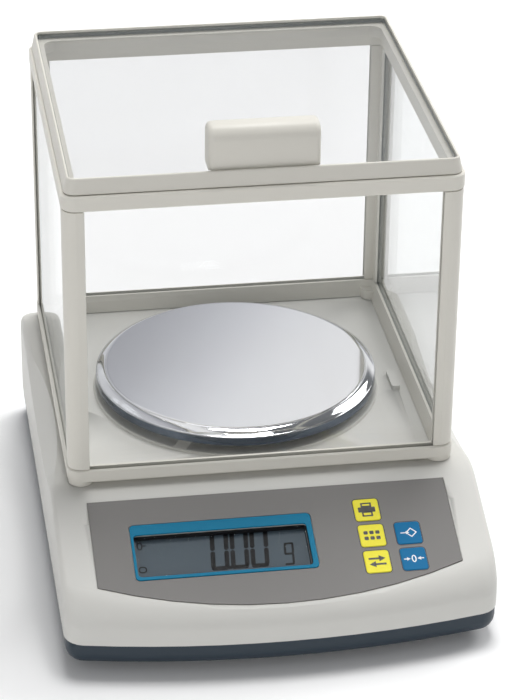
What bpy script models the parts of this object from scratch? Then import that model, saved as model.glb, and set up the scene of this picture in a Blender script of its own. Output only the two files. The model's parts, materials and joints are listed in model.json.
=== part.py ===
"""Laboratory balance with a lift-off glass draft shield, in metres with +Z up.

The origin is on the floor under the middle of the housing. The front, with the display, faces -Y.
"""
import math

import bmesh
import bpy
from mathutils import Matrix, Vector

# Clearances
GAP = 0.0003
OVERRUN = 0.0020

# Housing: plan, heights and walls
HOUSING_WIDTH = 0.1738
HOUSING_DEPTH = 0.2253
FRONT_BOW_RADIUS = 0.4000
PLAN_CORNER = 0.0070
PLAN_CORNER_INSIDE = 0.0020
BASE_CLEARANCE = 0.0040
SEAM_HEIGHT = 0.0140
SEAM_INSET = 0.0004
DECK_HEIGHT = 0.04935
HOUSING_WALL = 0.0025
SIDE_EDGE = 0.0022
SIDE_EDGE_INSIDE = 0.0012
REAR_EDGE = 0.0045
FRONT_EDGE_INSET = 0.0052
FRONT_CORNER_INSET = 0.0120
FRONT_EDGE_DROP = 0.0060
FRONT_CORNER_DROP = 0.0085
BASE_EDGE = 0.0055
LIP_HEIGHT = 0.0040
LIP_THICKNESS = 0.0014

# Sloping console
CONSOLE_ANGLE = math.radians(19.8)
CONSOLE_SETBACK = 0.0046
CREASE_RADIUS = 0.0200

# Scoops cut out of the long top edges beside the shield
SCOOP_LENGTH_SHARE = 0.8141
SCOOP_SETBACK_SHARE = 0.3846
SCOOP_WIDTH = 0.0072
SCOOP_DROP = 0.0075

# Deck details
BOSS_SPREAD = 0.0012
BOSS_RISE = 0.0010
WIND_RING_INSET = 0.0080
WIND_RING_WALL = 0.0022
WIND_RING_RISE = 0.0026
CARRIER_HOLE = 0.0140
LUG_MARGIN = 0.0116
LUG_SETBACK_SHARE = 0.4429
LUG_LENGTH = 0.0150
LUG_WIDTH = 0.0036
LUG_RISE = 0.0022
LUG_RADIUS = 0.0012

# Membrane overlay and its pocket
OVERLAY_WIDTH_SHARE = 0.8377
OVERLAY_SIDE_SHARE = 0.6312
OVERLAY_LENGTH_SHARE = 0.8411
OVERLAY_THICKNESS = 0.0005
OVERLAY_START_SHARE = 0.0759
POCKET_DEPTH = 0.0005

# Display
BEZEL_WIDTH_SHARE = 0.5014
BEZEL_HEIGHT_SHARE = 0.4850
BEZEL_OFFSET_SHARE = -0.1442
BEZEL_START_SHARE = 0.2336
BEZEL_THICKNESS = 0.0007
BEZEL_CORNER = 0.0018
WINDOW_WIDTH_SHARE = 0.4787
WINDOW_HEIGHT_SHARE = 0.3699
WINDOW_OFFSET_SHARE = -0.1477
WINDOW_START_SHARE = 0.3221
WINDOW_CORNER = 0.0016
LENS_BORDER = 0.0008
LENS_THICKNESS = 0.0008
LCD_MARGIN = 0.0020
LCD_GLASS = 0.0024
LCD_FRAME_MARGIN = 0.0015
LCD_FRAME = 0.0022

# Keys
KEY_WIDTH_SHARE = 0.0707
KEY_HEIGHT_SHARE = 0.1982
KEY_CORNER = 0.0013
KEY_PITCH_SHARE = 0.2319
KEY_START_SHARE = 0.2460
KEY_COLUMN_SHARES = (0.2665, 0.3681)
KEY_PROUD = 0.0003
KEY_FLANGE = 0.0006
KEY_FLANGE_THICKNESS = 0.0008
KEY_TRAVEL = 0.0005
KEY_PLACES = (("key_top", 0, 0), ("key_middle", 0, 1), ("key_bottom", 0, 2), ("key_tare", 1, 1), ("key_zero", 1, 2))
SWITCH_RADIUS = 0.0028
BOARD_THICKNESS = 0.0016
CONSOLE_BOARD_WIDTH_SHARE = 0.9478
CONSOLE_BOARD_HEIGHT_SHARE = 0.8142
CONSOLE_BOARD_START_SHARE = 0.0885

# Stakes that hold boards and plates
STAKE_SHOULDER = 0.0028
STAKE_PIN = 0.0014
STAKE_HEAD = 0.0024
STAKE_HEAD_THICKNESS = 0.0010
STAKE_MARGIN = 0.0042

# Weighing pan and what carries it
PAN_RADIUS_SHARE = 0.3846
PAN_BORDER = 0.0036
PAN_STEP = 0.0004
PAN_CONE_DROP = 0.0012
PAN_SKIRT = 0.0062
PAN_SHEET = 0.0010
PAN_EDGE = 0.0006
PAN_RISE = 0.01095
PAN_SETBACK_SHARE = 0.4878
PAD_RADIUS = 0.0040
PAD_THICKNESS = 0.0012
PAD_CIRCLE_SHARE = 0.6667
CARRIER_ARM_SHARE = 0.7667
CARRIER_ARM_WIDTH = 0.0140
CARRIER_THICKNESS = 0.0022
CARRIER_HUB = 0.0105
CARRIER_HUB_DEPTH = 0.0050
STEM_RADIUS = 0.0070
SPIGOT_RADIUS = 0.0030
SPIGOT_LENGTH = 0.0030

# Load cell
CELL_LENGTH_SHARE = 0.4882
CELL_WIDTH = 0.0240
CELL_HEIGHT = 0.0200
CELL_BORE = 0.0068
CELL_BORE_SPACING = 0.0260
CELL_SLOT = 0.0060
CELL_END = 0.0260
CELL_GAP = 0.0004
SINK_TRAVEL = 0.0002
BRIDGE_THICKNESS = 0.0035
BRIDGE_FOOT = 0.0014
BRIDGE_NOSE = 0.0120
PLATE_LENGTH_SHARE = 0.5770
PLATE_WIDTH_SHARE = 0.5178
PLATE_THICKNESS = 0.0030
PLATE_CORNER = 0.0040
SPACER_THICKNESS = 0.0030
CELL_SCREW = 0.0022
CELL_SCREW_HEAD = 0.0040
CELL_SCREW_HEAD_HEIGHT = 0.0030
CELL_SCREW_PITCH = 0.0130
CELL_SCREW_BITE = 0.0100
HEX_SOCKET = 0.0018
HEX_DEPTH = 0.0016

# Levelling feet
FOOT_MARGIN = 0.0169
FOOT_FRONT_SHARE = 0.1420
FOOT_REAR = 0.0180
FOOT_PAD = 0.0085
FOOT_PAD_HEIGHT = 0.0015
FOOT_WHEEL = 0.0090
FOOT_WHEEL_RIBS = 16
FOOT_RIB_DEPTH = 0.0005
FOOT_STUD = 0.0030
FOOT_STUD_HEIGHT = 0.0120
FOOT_BOSS = 0.0060
FOOT_BOSS_HEIGHT = 0.0045

# Housing screws and their pillars
SCREW_MARGIN = 0.0129
SCREW_FRONT_SHARE = 0.2308
SCREW_REAR_SHARE = 0.1775
SCREW_RADIUS = 0.0015
SCREW_HEAD = 0.0029
SCREW_HEAD_HEIGHT = 0.0018
SCREW_BITE = 0.0090
SCREW_BOSS = 0.0050
SCREW_BOSS_HEIGHT = 0.0030
PILLAR_RADIUS = 0.0040

# Main board in the front of the base
MAIN_BOARD_WIDTH_SHARE = 0.5754
MAIN_BOARD_DEPTH_SHARE = 0.5696
MAIN_BOARD_FRONT_SHARE = 0.4114
MAIN_BOARD_RISE = 0.0040
CHIPS = ((-0.0250, 0.0040, 0.0140, 0.0024), (0.0120, -0.0030, 0.0100, 0.0020), (0.0330, 0.0050, 0.0080, 0.0040))

# Rear connectors and the board behind them
PORT_HEIGHT = 0.0285
PORT_BOARD_WIDTH_SHARE = 0.6789
PORT_BOARD_HEIGHT = 0.0240
RIB_THICKNESS = 0.0015
RIB_DEPTH = 0.0060
RIB_BITE = 0.0030
JACK_OFFSET_SHARE = 0.2762
JACK_FACE = 0.0090
JACK_BODY = 0.0116
JACK_DEPTH = 0.0110
JACK_BORE = 0.0028
JACK_PIN = 0.0010
JACK_BORE_DEPTH = 0.0080
SERIAL_OFFSET_SHARE = -0.2301
SERIAL_WIDTH = 0.0168
SERIAL_TALL = 0.0083
SERIAL_TAPER = 0.0012
SERIAL_WALL = 0.0007
SERIAL_POCKET = 0.0055
SERIAL_FLANGE = 0.0300
SERIAL_FLANGE_TALL = 0.0125
PORT_PROUD = -0.0003

# Draft shield
SHIELD_WIDTH_SHARE = 0.9125
SHIELD_DEPTH_SHARE = 0.6924
SHIELD_REAR_MARGIN = 0.0015
SHIELD_CORNER = 0.0056
RING_RISE = 0.00735
RING_SKIRT = 0.00235
RING_SPREAD = 0.0018
RING_SKIRT_INSET = 0.0032
RING_EDGE = 0.0005
FOOT_BLOCK = 0.0052
FRAME_THICKNESS = 0.0047
WINDOW_TALL = 0.1152
TOP_RING_HEIGHT = 0.0065
GLASS_THICKNESS = 0.0020
GLASS_INSET = 0.0013
GLASS_SEAT = 0.0025
POST_LEG = 0.0088
POST_INSET = 0.0003
POST_SLOT = 0.0038
POST_LAP = 0.0035

# Lid
LID_INSET = 0.0012
LID_TAPER = 0.0012
LID_HEIGHT = 0.0063
LID_RIM = 0.0035
LID_OPENING = 0.0061
LID_OPENING_CORNER = 0.0050
LID_GLASS_RECESS = 0.0010
LID_EDGE = 0.0004
RIB_CLEARANCE = 0.0005
LID_RIB_DROP = 0.0022
HANDLE_WIDTH_SHARE = 0.2774
HANDLE_DEPTH = 0.0130
HANDLE_HEIGHT = 0.0174
HANDLE_SETBACK = 0.0044
HANDLE_CROWN = 0.0055
HANDLE_EDGE = 0.0022

# Facets
ARC_STEPS = 5
EDGE_STEPS = 3
BOW_STEPS = 6
CREASE_STEPS = 4
SCOOP_STEPS = 14
PAN_SIDES = 64
ROUND_SIDES = 24
SMALL_SIDES = 12
HEX_SIDES = 6
SMOOTH_ANGLE = math.radians(32)

# Sizes tied to the housing's width and depth
SHIELD_WIDTH = SHIELD_WIDTH_SHARE * HOUSING_WIDTH
SHIELD_DEPTH = SHIELD_DEPTH_SHARE * HOUSING_DEPTH
SCOOP_LENGTH = SCOOP_LENGTH_SHARE * SHIELD_DEPTH
PAN_RADIUS = PAN_RADIUS_SHARE * min(SHIELD_WIDTH, SHIELD_DEPTH)
PAN_DISC_RADIUS = PAN_RADIUS - PAN_BORDER
BOSS_RADIUS = PAN_RADIUS + BOSS_SPREAD
WIND_RING_RADIUS = PAN_RADIUS - WIND_RING_INSET
PAD_CIRCLE = PAD_CIRCLE_SHARE * PAN_RADIUS
CARRIER_ARM = CARRIER_ARM_SHARE * PAN_RADIUS
CELL_LENGTH = CELL_LENGTH_SHARE * HOUSING_DEPTH
PLATE_LENGTH = PLATE_LENGTH_SHARE * HOUSING_DEPTH
PLATE_WIDTH = PLATE_WIDTH_SHARE * HOUSING_WIDTH
CONSOLE_RUN = HOUSING_DEPTH - SHIELD_DEPTH - SHIELD_REAR_MARGIN - CONSOLE_SETBACK
SLOPE_LENGTH = CONSOLE_RUN / math.cos(CONSOLE_ANGLE)
OVERLAY_WIDTH = OVERLAY_WIDTH_SHARE * HOUSING_WIDTH
OVERLAY_SIDE = OVERLAY_SIDE_SHARE * SLOPE_LENGTH
OVERLAY_LENGTH = OVERLAY_LENGTH_SHARE * SLOPE_LENGTH
OVERLAY_START = OVERLAY_START_SHARE * SLOPE_LENGTH
BEZEL_WIDTH = BEZEL_WIDTH_SHARE * OVERLAY_WIDTH
BEZEL_HEIGHT = BEZEL_HEIGHT_SHARE * OVERLAY_LENGTH
WINDOW_WIDTH = WINDOW_WIDTH_SHARE * OVERLAY_WIDTH
WINDOW_HEIGHT = WINDOW_HEIGHT_SHARE * OVERLAY_LENGTH
KEY_WIDTH = KEY_WIDTH_SHARE * OVERLAY_WIDTH
KEY_HEIGHT = KEY_HEIGHT_SHARE * OVERLAY_LENGTH
CONSOLE_BOARD_WIDTH = CONSOLE_BOARD_WIDTH_SHARE * OVERLAY_WIDTH
CONSOLE_BOARD_HEIGHT = CONSOLE_BOARD_HEIGHT_SHARE * OVERLAY_LENGTH
CONSOLE_BOARD_START = CONSOLE_BOARD_START_SHARE * OVERLAY_LENGTH
MAIN_BOARD_WIDTH = MAIN_BOARD_WIDTH_SHARE * HOUSING_WIDTH
MAIN_BOARD_DEPTH = MAIN_BOARD_DEPTH_SHARE * CONSOLE_RUN
PORT_BOARD_WIDTH = PORT_BOARD_WIDTH_SHARE * HOUSING_WIDTH
HANDLE_WIDTH = HANDLE_WIDTH_SHARE * SHIELD_WIDTH

# Heights and places worked out from the sizes
FRONT_Y = -HOUSING_DEPTH / 2
REAR_Y = HOUSING_DEPTH / 2
SHIELD_Y = REAR_Y - SHIELD_REAR_MARGIN - SHIELD_DEPTH / 2
SHIELD_FRONT_Y = SHIELD_Y - SHIELD_DEPTH / 2
PAN_Y = SHIELD_FRONT_Y + PAN_SETBACK_SHARE * SHIELD_DEPTH
CONSOLE_Y = SHIELD_FRONT_Y - CONSOLE_SETBACK
FLOOR = BASE_CLEARANCE + HOUSING_WALL
PAN_TOP = DECK_HEIGHT + PAN_RISE
RING_BOTTOM = DECK_HEIGHT + GAP
RING_TOP = RING_BOTTOM + RING_RISE
POST_TOP = RING_TOP + WINDOW_TALL
TOP_RING_TOP = POST_TOP + TOP_RING_HEIGHT
LID_BOTTOM = TOP_RING_TOP + GAP
LID_TOP = LID_BOTTOM + LID_HEIGHT
LID_GLASS_TOP = LID_TOP - LID_GLASS_RECESS
CARRIER_TOP = PAN_TOP - PAN_SHEET - 2 * GAP - PAD_THICKNESS
PLATE_Z = FLOOR + GAP
SPACER_Z = PLATE_Z + PLATE_THICKNESS + GAP
CELL_Z = SPACER_Z + SPACER_THICKNESS + GAP
CELL_TOP = CELL_Z + CELL_HEIGHT
BRIDGE_Z = CELL_TOP + CELL_GAP
BRIDGE_TOP = BRIDGE_Z + BRIDGE_FOOT + BRIDGE_THICKNESS
SLOPE_WALL = HOUSING_WALL * math.cos(CONSOLE_ANGLE)
CONSOLE_BOARD_TOP = -SLOPE_WALL - GAP - LCD_GLASS - LCD_FRAME - GAP


def clear_scene():
    """Removes whatever the file opened with."""
    for old in list(bpy.data.objects):
        bpy.data.objects.remove(old, do_unlink=True)


def material(name, colour, roughness, metallic=0.0, alpha=1.0):
    """Returns a Principled material."""
    mat = bpy.data.materials.new(name)
    mat.use_nodes = True
    shader = mat.node_tree.nodes["Principled BSDF"]
    shader.inputs["Base Color"].default_value = (*colour, 1.0)
    shader.inputs["Roughness"].default_value = roughness
    shader.inputs["Metallic"].default_value = metallic
    shader.inputs["Alpha"].default_value = alpha
    mat.diffuse_color = (*colour, alpha)
    return mat


def place(bm, name, mat, parent=None, location=(0.0, 0.0, 0.0)):
    """Turns a bmesh into a named object, smooth across shallow edges."""
    bmesh.ops.recalc_face_normals(bm, faces=bm.faces)
    mesh = bpy.data.meshes.new(name)
    bm.to_mesh(mesh)
    bm.free()
    mesh.shade_smooth()
    mesh.set_sharp_from_angle(angle=SMOOTH_ANGLE)
    obj = bpy.data.objects.new(name, mesh)
    bpy.context.collection.objects.link(obj)
    if mat is not None:
        mesh.materials.append(mat)
    obj.parent = parent
    obj.location = location
    return obj


def combine(target, bm, operation="DIFFERENCE", parent=None, location=(0.0, 0.0, 0.0)):
    """Cuts a bmesh out of the target, or joins it on, with an exact Boolean."""
    tool = place(bm, f"{target.name}_{operation.lower()}_{len(target.modifiers)}", None, parent, location)
    tool.hide_render = True
    tool.display_type = "WIRE"
    step = target.modifiers.new(tool.name, "BOOLEAN")
    step.operation = operation
    step.solver = "EXACT"
    step.object = tool


def pivot(name, location, rotation=(0.0, 0.0, 0.0)):
    """Adds an empty that pieces are laid out from."""
    empty = bpy.data.objects.new(name, None)
    bpy.context.collection.objects.link(empty)
    empty.location = location
    empty.rotation_euler = rotation
    return empty


def circle(radius, sides, centre=(0.0, 0.0)):
    """Points of a circle, anticlockwise."""
    turns = [2 * math.pi * i / sides for i in range(sides)]
    return [Vector((centre[0] + radius * math.cos(t), centre[1] + radius * math.sin(t))) for t in turns]


def rounded_rectangle(width, depth, radius, centre=(0.0, 0.0), steps=ARC_STEPS):
    """Points of a rectangle with round corners, anticlockwise."""
    points = []
    for turn, (side_x, side_y) in enumerate(((1, -1), (1, 1), (-1, 1), (-1, -1))):
        middle = Vector((side_x * (width / 2 - radius), side_y * (depth / 2 - radius))) + Vector(centre)
        for step in range(steps + 1):
            angle = math.pi / 2 * (turn - 1 + step / steps)
            points.append(middle + radius * Vector((math.cos(angle), math.sin(angle))))
    return points


def rectangle(width, depth, centre=(0.0, 0.0)):
    """Corners of a rectangle, anticlockwise."""
    corners = ((-1, -1), (1, -1), (1, 1), (-1, 1))
    return [Vector((centre[0] + x * width / 2, centre[1] + y * depth / 2)) for x, y in corners]


def add_rings(bm, levels):
    """Adds a ring of vertices for each (points, height) level."""
    return [[bm.verts.new((point.x, point.y, height)) for point in points] for points, height in levels]


def bridge(bm, lower, upper):
    """Joins two rings that have the same number of vertices."""
    for i, start in enumerate(lower):
        j = (i + 1) % len(lower)
        bm.faces.new((start, lower[j], upper[j], upper[i]))


def cap(bm, first, last):
    """Closes both ends of a run of rings."""
    bm.faces.new(list(reversed(first)))
    bm.faces.new(last)


def stack(levels, bm=None):
    """Solid through a run of (points, height) rings, capped at both ends."""
    bm = bm or bmesh.new()
    rings = add_rings(bm, levels)
    for lower, upper in zip(rings, rings[1:]):
        bridge(bm, lower, upper)
    cap(bm, rings[0], rings[-1])
    return bm


def frame(levels):
    """Closed frame whose (points, height) rings go once round its section."""
    bm = bmesh.new()
    rings = add_rings(bm, levels)
    for lower, upper in zip(rings, rings[1:] + rings[:1]):
        bridge(bm, lower, upper)
    return bm


def prism(points, bottom, top, bm=None):
    """Solid of one outline between two heights."""
    return stack([(points, bottom), (points, top)], bm)


def across(points, low, high, bm=None):
    """Solid of one (run, height) outline drawn along X."""
    bm = bm or bmesh.new()
    rings = [[bm.verts.new((x, point[0], point[1])) for point in points] for x in (low, high)]
    bridge(bm, rings[0], rings[1])
    cap(bm, rings[0], rings[1])
    return bm


def revolve(profile, sides, centre=(0.0, 0.0)):
    """Solid turned about an upright line from (radius, height) points, first and last on the line."""
    bm = bmesh.new()
    first, last = [bm.verts.new((*centre, profile[end][1])) for end in (0, -1)]
    rings = add_rings(bm, [(circle(radius, sides, centre), height) for radius, height in profile[1:-1]])
    for lower, upper in zip(rings, rings[1:]):
        bridge(bm, lower, upper)
    for i in range(sides):
        j = (i + 1) % sides
        bm.faces.new((first, rings[0][j], rings[0][i]))
        bm.faces.new((last, rings[-1][i], rings[-1][j]))
    return bm


def stake(centre, base, shoulder, grip, sign=1):
    """Heat-formed stake: a shoulder, a pin through the held piece, and a flattened head."""
    seat = shoulder
    head = seat + sign * (grip + 2 * GAP)
    end = head + sign * STAKE_HEAD_THICKNESS
    profile = ((0.0, base), (STAKE_SHOULDER, base), (STAKE_SHOULDER, seat), (STAKE_PIN, seat),
               (STAKE_PIN, head), (STAKE_HEAD, head), (STAKE_HEAD, end), (0.0, end))
    return revolve(profile, SMALL_SIDES, centre)


def corners(width, depth, centre=(0.0, 0.0)):
    """The four points a margin inside a rectangle's corners."""
    return rectangle(width - 2 * STAKE_MARGIN, depth - 2 * STAKE_MARGIN, centre)


def screw(radius, head, head_height, length, socket):
    """Screw with a socket in its head: the head's top is at zero and the shank points down."""
    profile = ((0.0, -head_height - length), (radius, -head_height - length), (radius, -head_height),
               (head, -head_height), (head, -OVERRUN / 10), (head - OVERRUN / 10, 0.0),
               (socket, 0.0), (socket, -HEX_DEPTH), (0.0, -HEX_DEPTH))
    return revolve(profile, SMALL_SIDES)


def top_height(y):
    """Height of the housing's top along its length: deck, round crease, console slope."""
    tangent = CREASE_RADIUS * math.tan(CONSOLE_ANGLE / 2)
    reach = CONSOLE_Y + tangent - y
    if reach <= 0:
        return DECK_HEIGHT
    if reach < CREASE_RADIUS * math.sin(CONSOLE_ANGLE):
        return DECK_HEIGHT - CREASE_RADIUS + math.sqrt(CREASE_RADIUS ** 2 - reach ** 2)
    return DECK_HEIGHT - (CONSOLE_Y - y) * math.tan(CONSOLE_ANGLE)


def plan_limits(x, inset):
    """Front and rear of the housing's outline at one x, drawn in by an inset."""
    half = HOUSING_WIDTH / 2 - inset
    corner = max(PLAN_CORNER - inset, PLAN_CORNER_INSIDE)
    over = max(0.0, abs(x) - half + corner)
    turned = corner - math.sqrt(max(0.0, corner ** 2 - over ** 2))
    bow = FRONT_BOW_RADIUS - math.sqrt(FRONT_BOW_RADIUS ** 2 - x ** 2)
    return FRONT_Y + inset + bow + turned, REAR_Y - inset - turned


def stations(inset):
    """Values of x at which the housing is sectioned, closer together round its corners."""
    half = HOUSING_WIDTH / 2 - inset
    corner = max(PLAN_CORNER - inset, PLAN_CORNER_INSIDE)
    edge = max(SIDE_EDGE - inset, SIDE_EDGE_INSIDE)
    right = [(half - corner) * step / BOW_STEPS for step in range(1, BOW_STEPS + 1)]
    right += [half - corner + corner * math.sin(math.pi / 2 * step / ARC_STEPS) for step in range(1, ARC_STEPS)]
    right += [half - edge + edge * math.sin(math.pi / 2 * step / EDGE_STEPS) for step in range(EDGE_STEPS + 1)]
    right.sort()
    return [-x for x in reversed(right)] + [0.0] + right


def housing_section(x, inset, lowest):
    """Closed side profile of the upper housing's form at one x, as (y, z) points."""
    half = HOUSING_WIDTH / 2 - inset
    share = (x / half) ** 2
    edge = max(SIDE_EDGE - inset, SIDE_EDGE_INSIDE)
    over = max(0.0, abs(x) - half + edge)
    fall = inset + edge - math.sqrt(max(0.0, edge ** 2 - over ** 2))
    front, rear = plan_limits(x, inset)
    run = FRONT_EDGE_INSET + (FRONT_CORNER_INSET - FRONT_EDGE_INSET) * share
    drop = FRONT_EDGE_DROP + (FRONT_CORNER_DROP - FRONT_EDGE_DROP) * share
    quarter = [math.pi / 2 * step / ARC_STEPS for step in range(ARC_STEPS + 1)]
    points = [(front, lowest)]
    for angle in quarter:
        y = front + run * (1 - math.cos(angle))
        points.append((y, top_height(y) - fall - drop * (1 - math.sin(angle))))
    crease = CONSOLE_Y + CREASE_RADIUS * math.tan(CONSOLE_ANGLE / 2)
    for step in range(CREASE_STEPS, -1, -1):
        y = crease - CREASE_RADIUS * math.sin(CONSOLE_ANGLE * step / CREASE_STEPS)
        points.append((y, top_height(y) - fall))
    for angle in quarter:
        points.append((rear - REAR_EDGE * (1 - math.sin(angle)), DECK_HEIGHT - fall - REAR_EDGE * (1 - math.cos(angle))))
    points.append((rear, lowest))
    return points


def housing_form(inset, lowest):
    """Solid with the upper housing's outline, drawn in on every side by an inset."""
    bm = bmesh.new()
    loops = [[bm.verts.new((x, *point)) for point in housing_section(x, inset, lowest)] for x in stations(inset)]
    for left, right in zip(loops, loops[1:]):
        bridge(bm, left, right)
    cap(bm, loops[0], loops[-1])
    return bm


def plan_outline(inset):
    """The housing's outline seen from above, anticlockwise."""
    places = stations(inset)
    front = [Vector((x, plan_limits(x, inset)[0])) for x in places]
    return front + [Vector((x, plan_limits(x, inset)[1])) for x in reversed(places)]


def scoop_blade(side, grow):
    """Blade with a bowed face that takes a lens-shaped facet off one long top edge."""
    size = math.hypot(SCOOP_WIDTH, SCOOP_DROP)
    sag = SCOOP_WIDTH * SCOOP_DROP / size
    radius = (SCOOP_LENGTH ** 2 / 4 + sag ** 2) / (2 * sag)
    along = Vector((SCOOP_WIDTH / size, 0.0, -SCOOP_DROP / size))
    outward = Vector((SCOOP_DROP / size, 0.0, SCOOP_WIDTH / size))
    base = Vector((HOUSING_WIDTH / 2, SHIELD_FRONT_Y + SCOOP_SETBACK_SHARE * SHIELD_DEPTH, DECK_HEIGHT - SCOOP_DROP))
    sweep = math.asin((SCOOP_LENGTH / 2 + size) / radius)
    turns = [sweep * (2 * step / SCOOP_STEPS - 1) for step in range(SCOOP_STEPS + 1)]
    profile = [(radius * math.sin(turn), radius * (1 - math.cos(turn)) - grow) for turn in turns]
    profile += [(profile[-1][0], 2 * size), (profile[0][0], 2 * size)]
    bm = bmesh.new()
    rings = []
    for shift in (-2 * size, 2 * size):
        places = [base + outward * rise + along * shift + Vector((0.0, run, 0.0)) for run, rise in profile]
        rings.append([bm.verts.new((side * place.x, place.y, place.z)) for place in places])
    bridge(bm, rings[0], rings[1])
    cap(bm, rings[0], rings[1])
    return bm


def overlay_outline(grow):
    """The keypad overlay's outline on the slope: straight top and sides, bowed lower edge."""
    half = OVERLAY_WIDTH / 2
    sag = OVERLAY_LENGTH - OVERLAY_SIDE
    radius = (half ** 2 + sag ** 2) / (2 * sag)
    sweep = math.asin(half / radius)
    points = [Vector((half + grow, grow)), Vector((-half - grow, grow))]
    for step in range(2 * ARC_STEPS + 1):
        turn = sweep * (step / ARC_STEPS - 1)
        reach = (half + grow) / half * radius * math.sin(turn)
        points.append(Vector((reach, -OVERLAY_LENGTH + radius * (1 - math.cos(turn)) - grow)))
    return points


def slope_rectangle(width, height, offset, start, corner, grow=0.0):
    """Rounded rectangle on the slope, its upper side a given way down from the overlay's top."""
    middle = (offset, -start - height / 2)
    return rounded_rectangle(width + 2 * grow, height + 2 * grow, corner + grow, middle)


def bezel_outline(grow=0.0):
    """Outside of the display frame."""
    offset = BEZEL_OFFSET_SHARE * OVERLAY_WIDTH
    return slope_rectangle(BEZEL_WIDTH, BEZEL_HEIGHT, offset, BEZEL_START_SHARE * OVERLAY_LENGTH, BEZEL_CORNER, grow)


def window_outline(grow=0.0):
    """Clear opening of the display frame."""
    offset = WINDOW_OFFSET_SHARE * OVERLAY_WIDTH
    return slope_rectangle(WINDOW_WIDTH, WINDOW_HEIGHT, offset, WINDOW_START_SHARE * OVERLAY_LENGTH, WINDOW_CORNER, grow)


def key_centre(column, row):
    """Middle of one key on the slope."""
    return KEY_COLUMN_SHARES[column] * OVERLAY_WIDTH, -(KEY_START_SHARE + KEY_PITCH_SHARE * row) * OVERLAY_LENGTH


def key_outline(grow=0.0, centre=(0.0, 0.0)):
    """Outline of a key, grown for its opening or flange."""
    return rounded_rectangle(KEY_WIDTH + 2 * grow, KEY_HEIGHT + 2 * grow, KEY_CORNER + grow, centre)


def shield_outline(inset, corner=None):
    """Outline of the draft shield drawn in by an inset."""
    radius = max(SHIELD_CORNER - inset, RING_EDGE) if corner is None else corner
    return rounded_rectangle(SHIELD_WIDTH - 2 * inset, SHIELD_DEPTH - 2 * inset, radius, (0.0, SHIELD_Y))


def foot_places():
    """Names and plan places of the levelling feet."""
    reach = HOUSING_WIDTH / 2 - FOOT_MARGIN
    rows = (("front", FRONT_Y + FOOT_FRONT_SHARE * HOUSING_DEPTH), ("rear", REAR_Y - FOOT_REAR))
    return [(f"{row}_{name}", (side * reach, y)) for row, y in rows for name, side in (("left", -1), ("right", 1))]


def screw_places():
    """Names and plan places of the housing screws."""
    reach = HOUSING_WIDTH / 2 - SCREW_MARGIN
    front, rear = FRONT_Y + SCREW_FRONT_SHARE * HOUSING_DEPTH, REAR_Y - SCREW_REAR_SHARE * HOUSING_DEPTH
    rows = (("front", front), ("rear", rear))
    return [(f"{row}_{name}", (side * reach, y)) for row, y in rows for name, side in (("left", -1), ("right", 1))]


def build_upper_housing(paints):
    """Upper housing: hollow shell with the sloping console, scoops, pan boss and rear ports."""
    shell = place(housing_form(0.0, SEAM_HEIGHT), "upper_housing", paints["shell"])
    for side in (-1, 1):
        combine(shell, scoop_blade(side, 0.0))
    hollow = place(housing_form(HOUSING_WALL, SEAM_HEIGHT - OVERRUN), "housing_hollow", None)
    hollow.hide_render = True
    hollow.display_type = "WIRE"
    for side in (-1, 1):
        combine(hollow, scoop_blade(side, HOUSING_WALL))
    step = shell.modifiers.new("hollow", "BOOLEAN")
    step.operation = "DIFFERENCE"
    step.solver = "EXACT"
    step.object = hollow
    boss_foot = DECK_HEIGHT - HOUSING_WALL / 2
    boss_top = DECK_HEIGHT + BOSS_RISE
    ring_top = boss_top + WIND_RING_RISE
    ring_inside = WIND_RING_RADIUS - WIND_RING_WALL
    boss = ((0.0, boss_foot), (BOSS_RADIUS, boss_foot), (BOSS_RADIUS, boss_top - RING_EDGE),
            (BOSS_RADIUS - RING_EDGE, boss_top), (WIND_RING_RADIUS, boss_top), (WIND_RING_RADIUS, ring_top),
            (ring_inside, ring_top), (ring_inside, boss_top), (0.0, boss_top))
    combine(shell, revolve(boss, PAN_SIDES, (0.0, PAN_Y)), "UNION")
    hole = circle(CARRIER_HOLE, ROUND_SIDES, (0.0, PAN_Y))
    combine(shell, prism(hole, DECK_HEIGHT - HOUSING_WALL - OVERRUN, boss_top + OVERRUN))
    for side in (-1, 1):
        place_on = (side * (SHIELD_WIDTH / 2 - LUG_MARGIN), SHIELD_FRONT_Y + LUG_SETBACK_SHARE * SHIELD_DEPTH)
        lug = rounded_rectangle(LUG_WIDTH, LUG_LENGTH, LUG_RADIUS, place_on, EDGE_STEPS)
        combine(shell, prism(lug, boss_foot, DECK_HEIGHT + LUG_RISE), "UNION")
    pillar_end = FLOOR + SCREW_BOSS_HEIGHT + GAP
    for _, centre in screw_places():
        root = top_height(centre[1]) - HOUSING_WALL / 2
        combine(shell, prism(circle(PILLAR_RADIUS, SMALL_SIDES, centre), pillar_end, root), "UNION")
        bore = circle(SCREW_RADIUS + GAP, SMALL_SIDES, centre)
        combine(shell, prism(bore, pillar_end - OVERRUN, pillar_end + SCREW_BITE + OVERRUN))
    return shell


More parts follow.
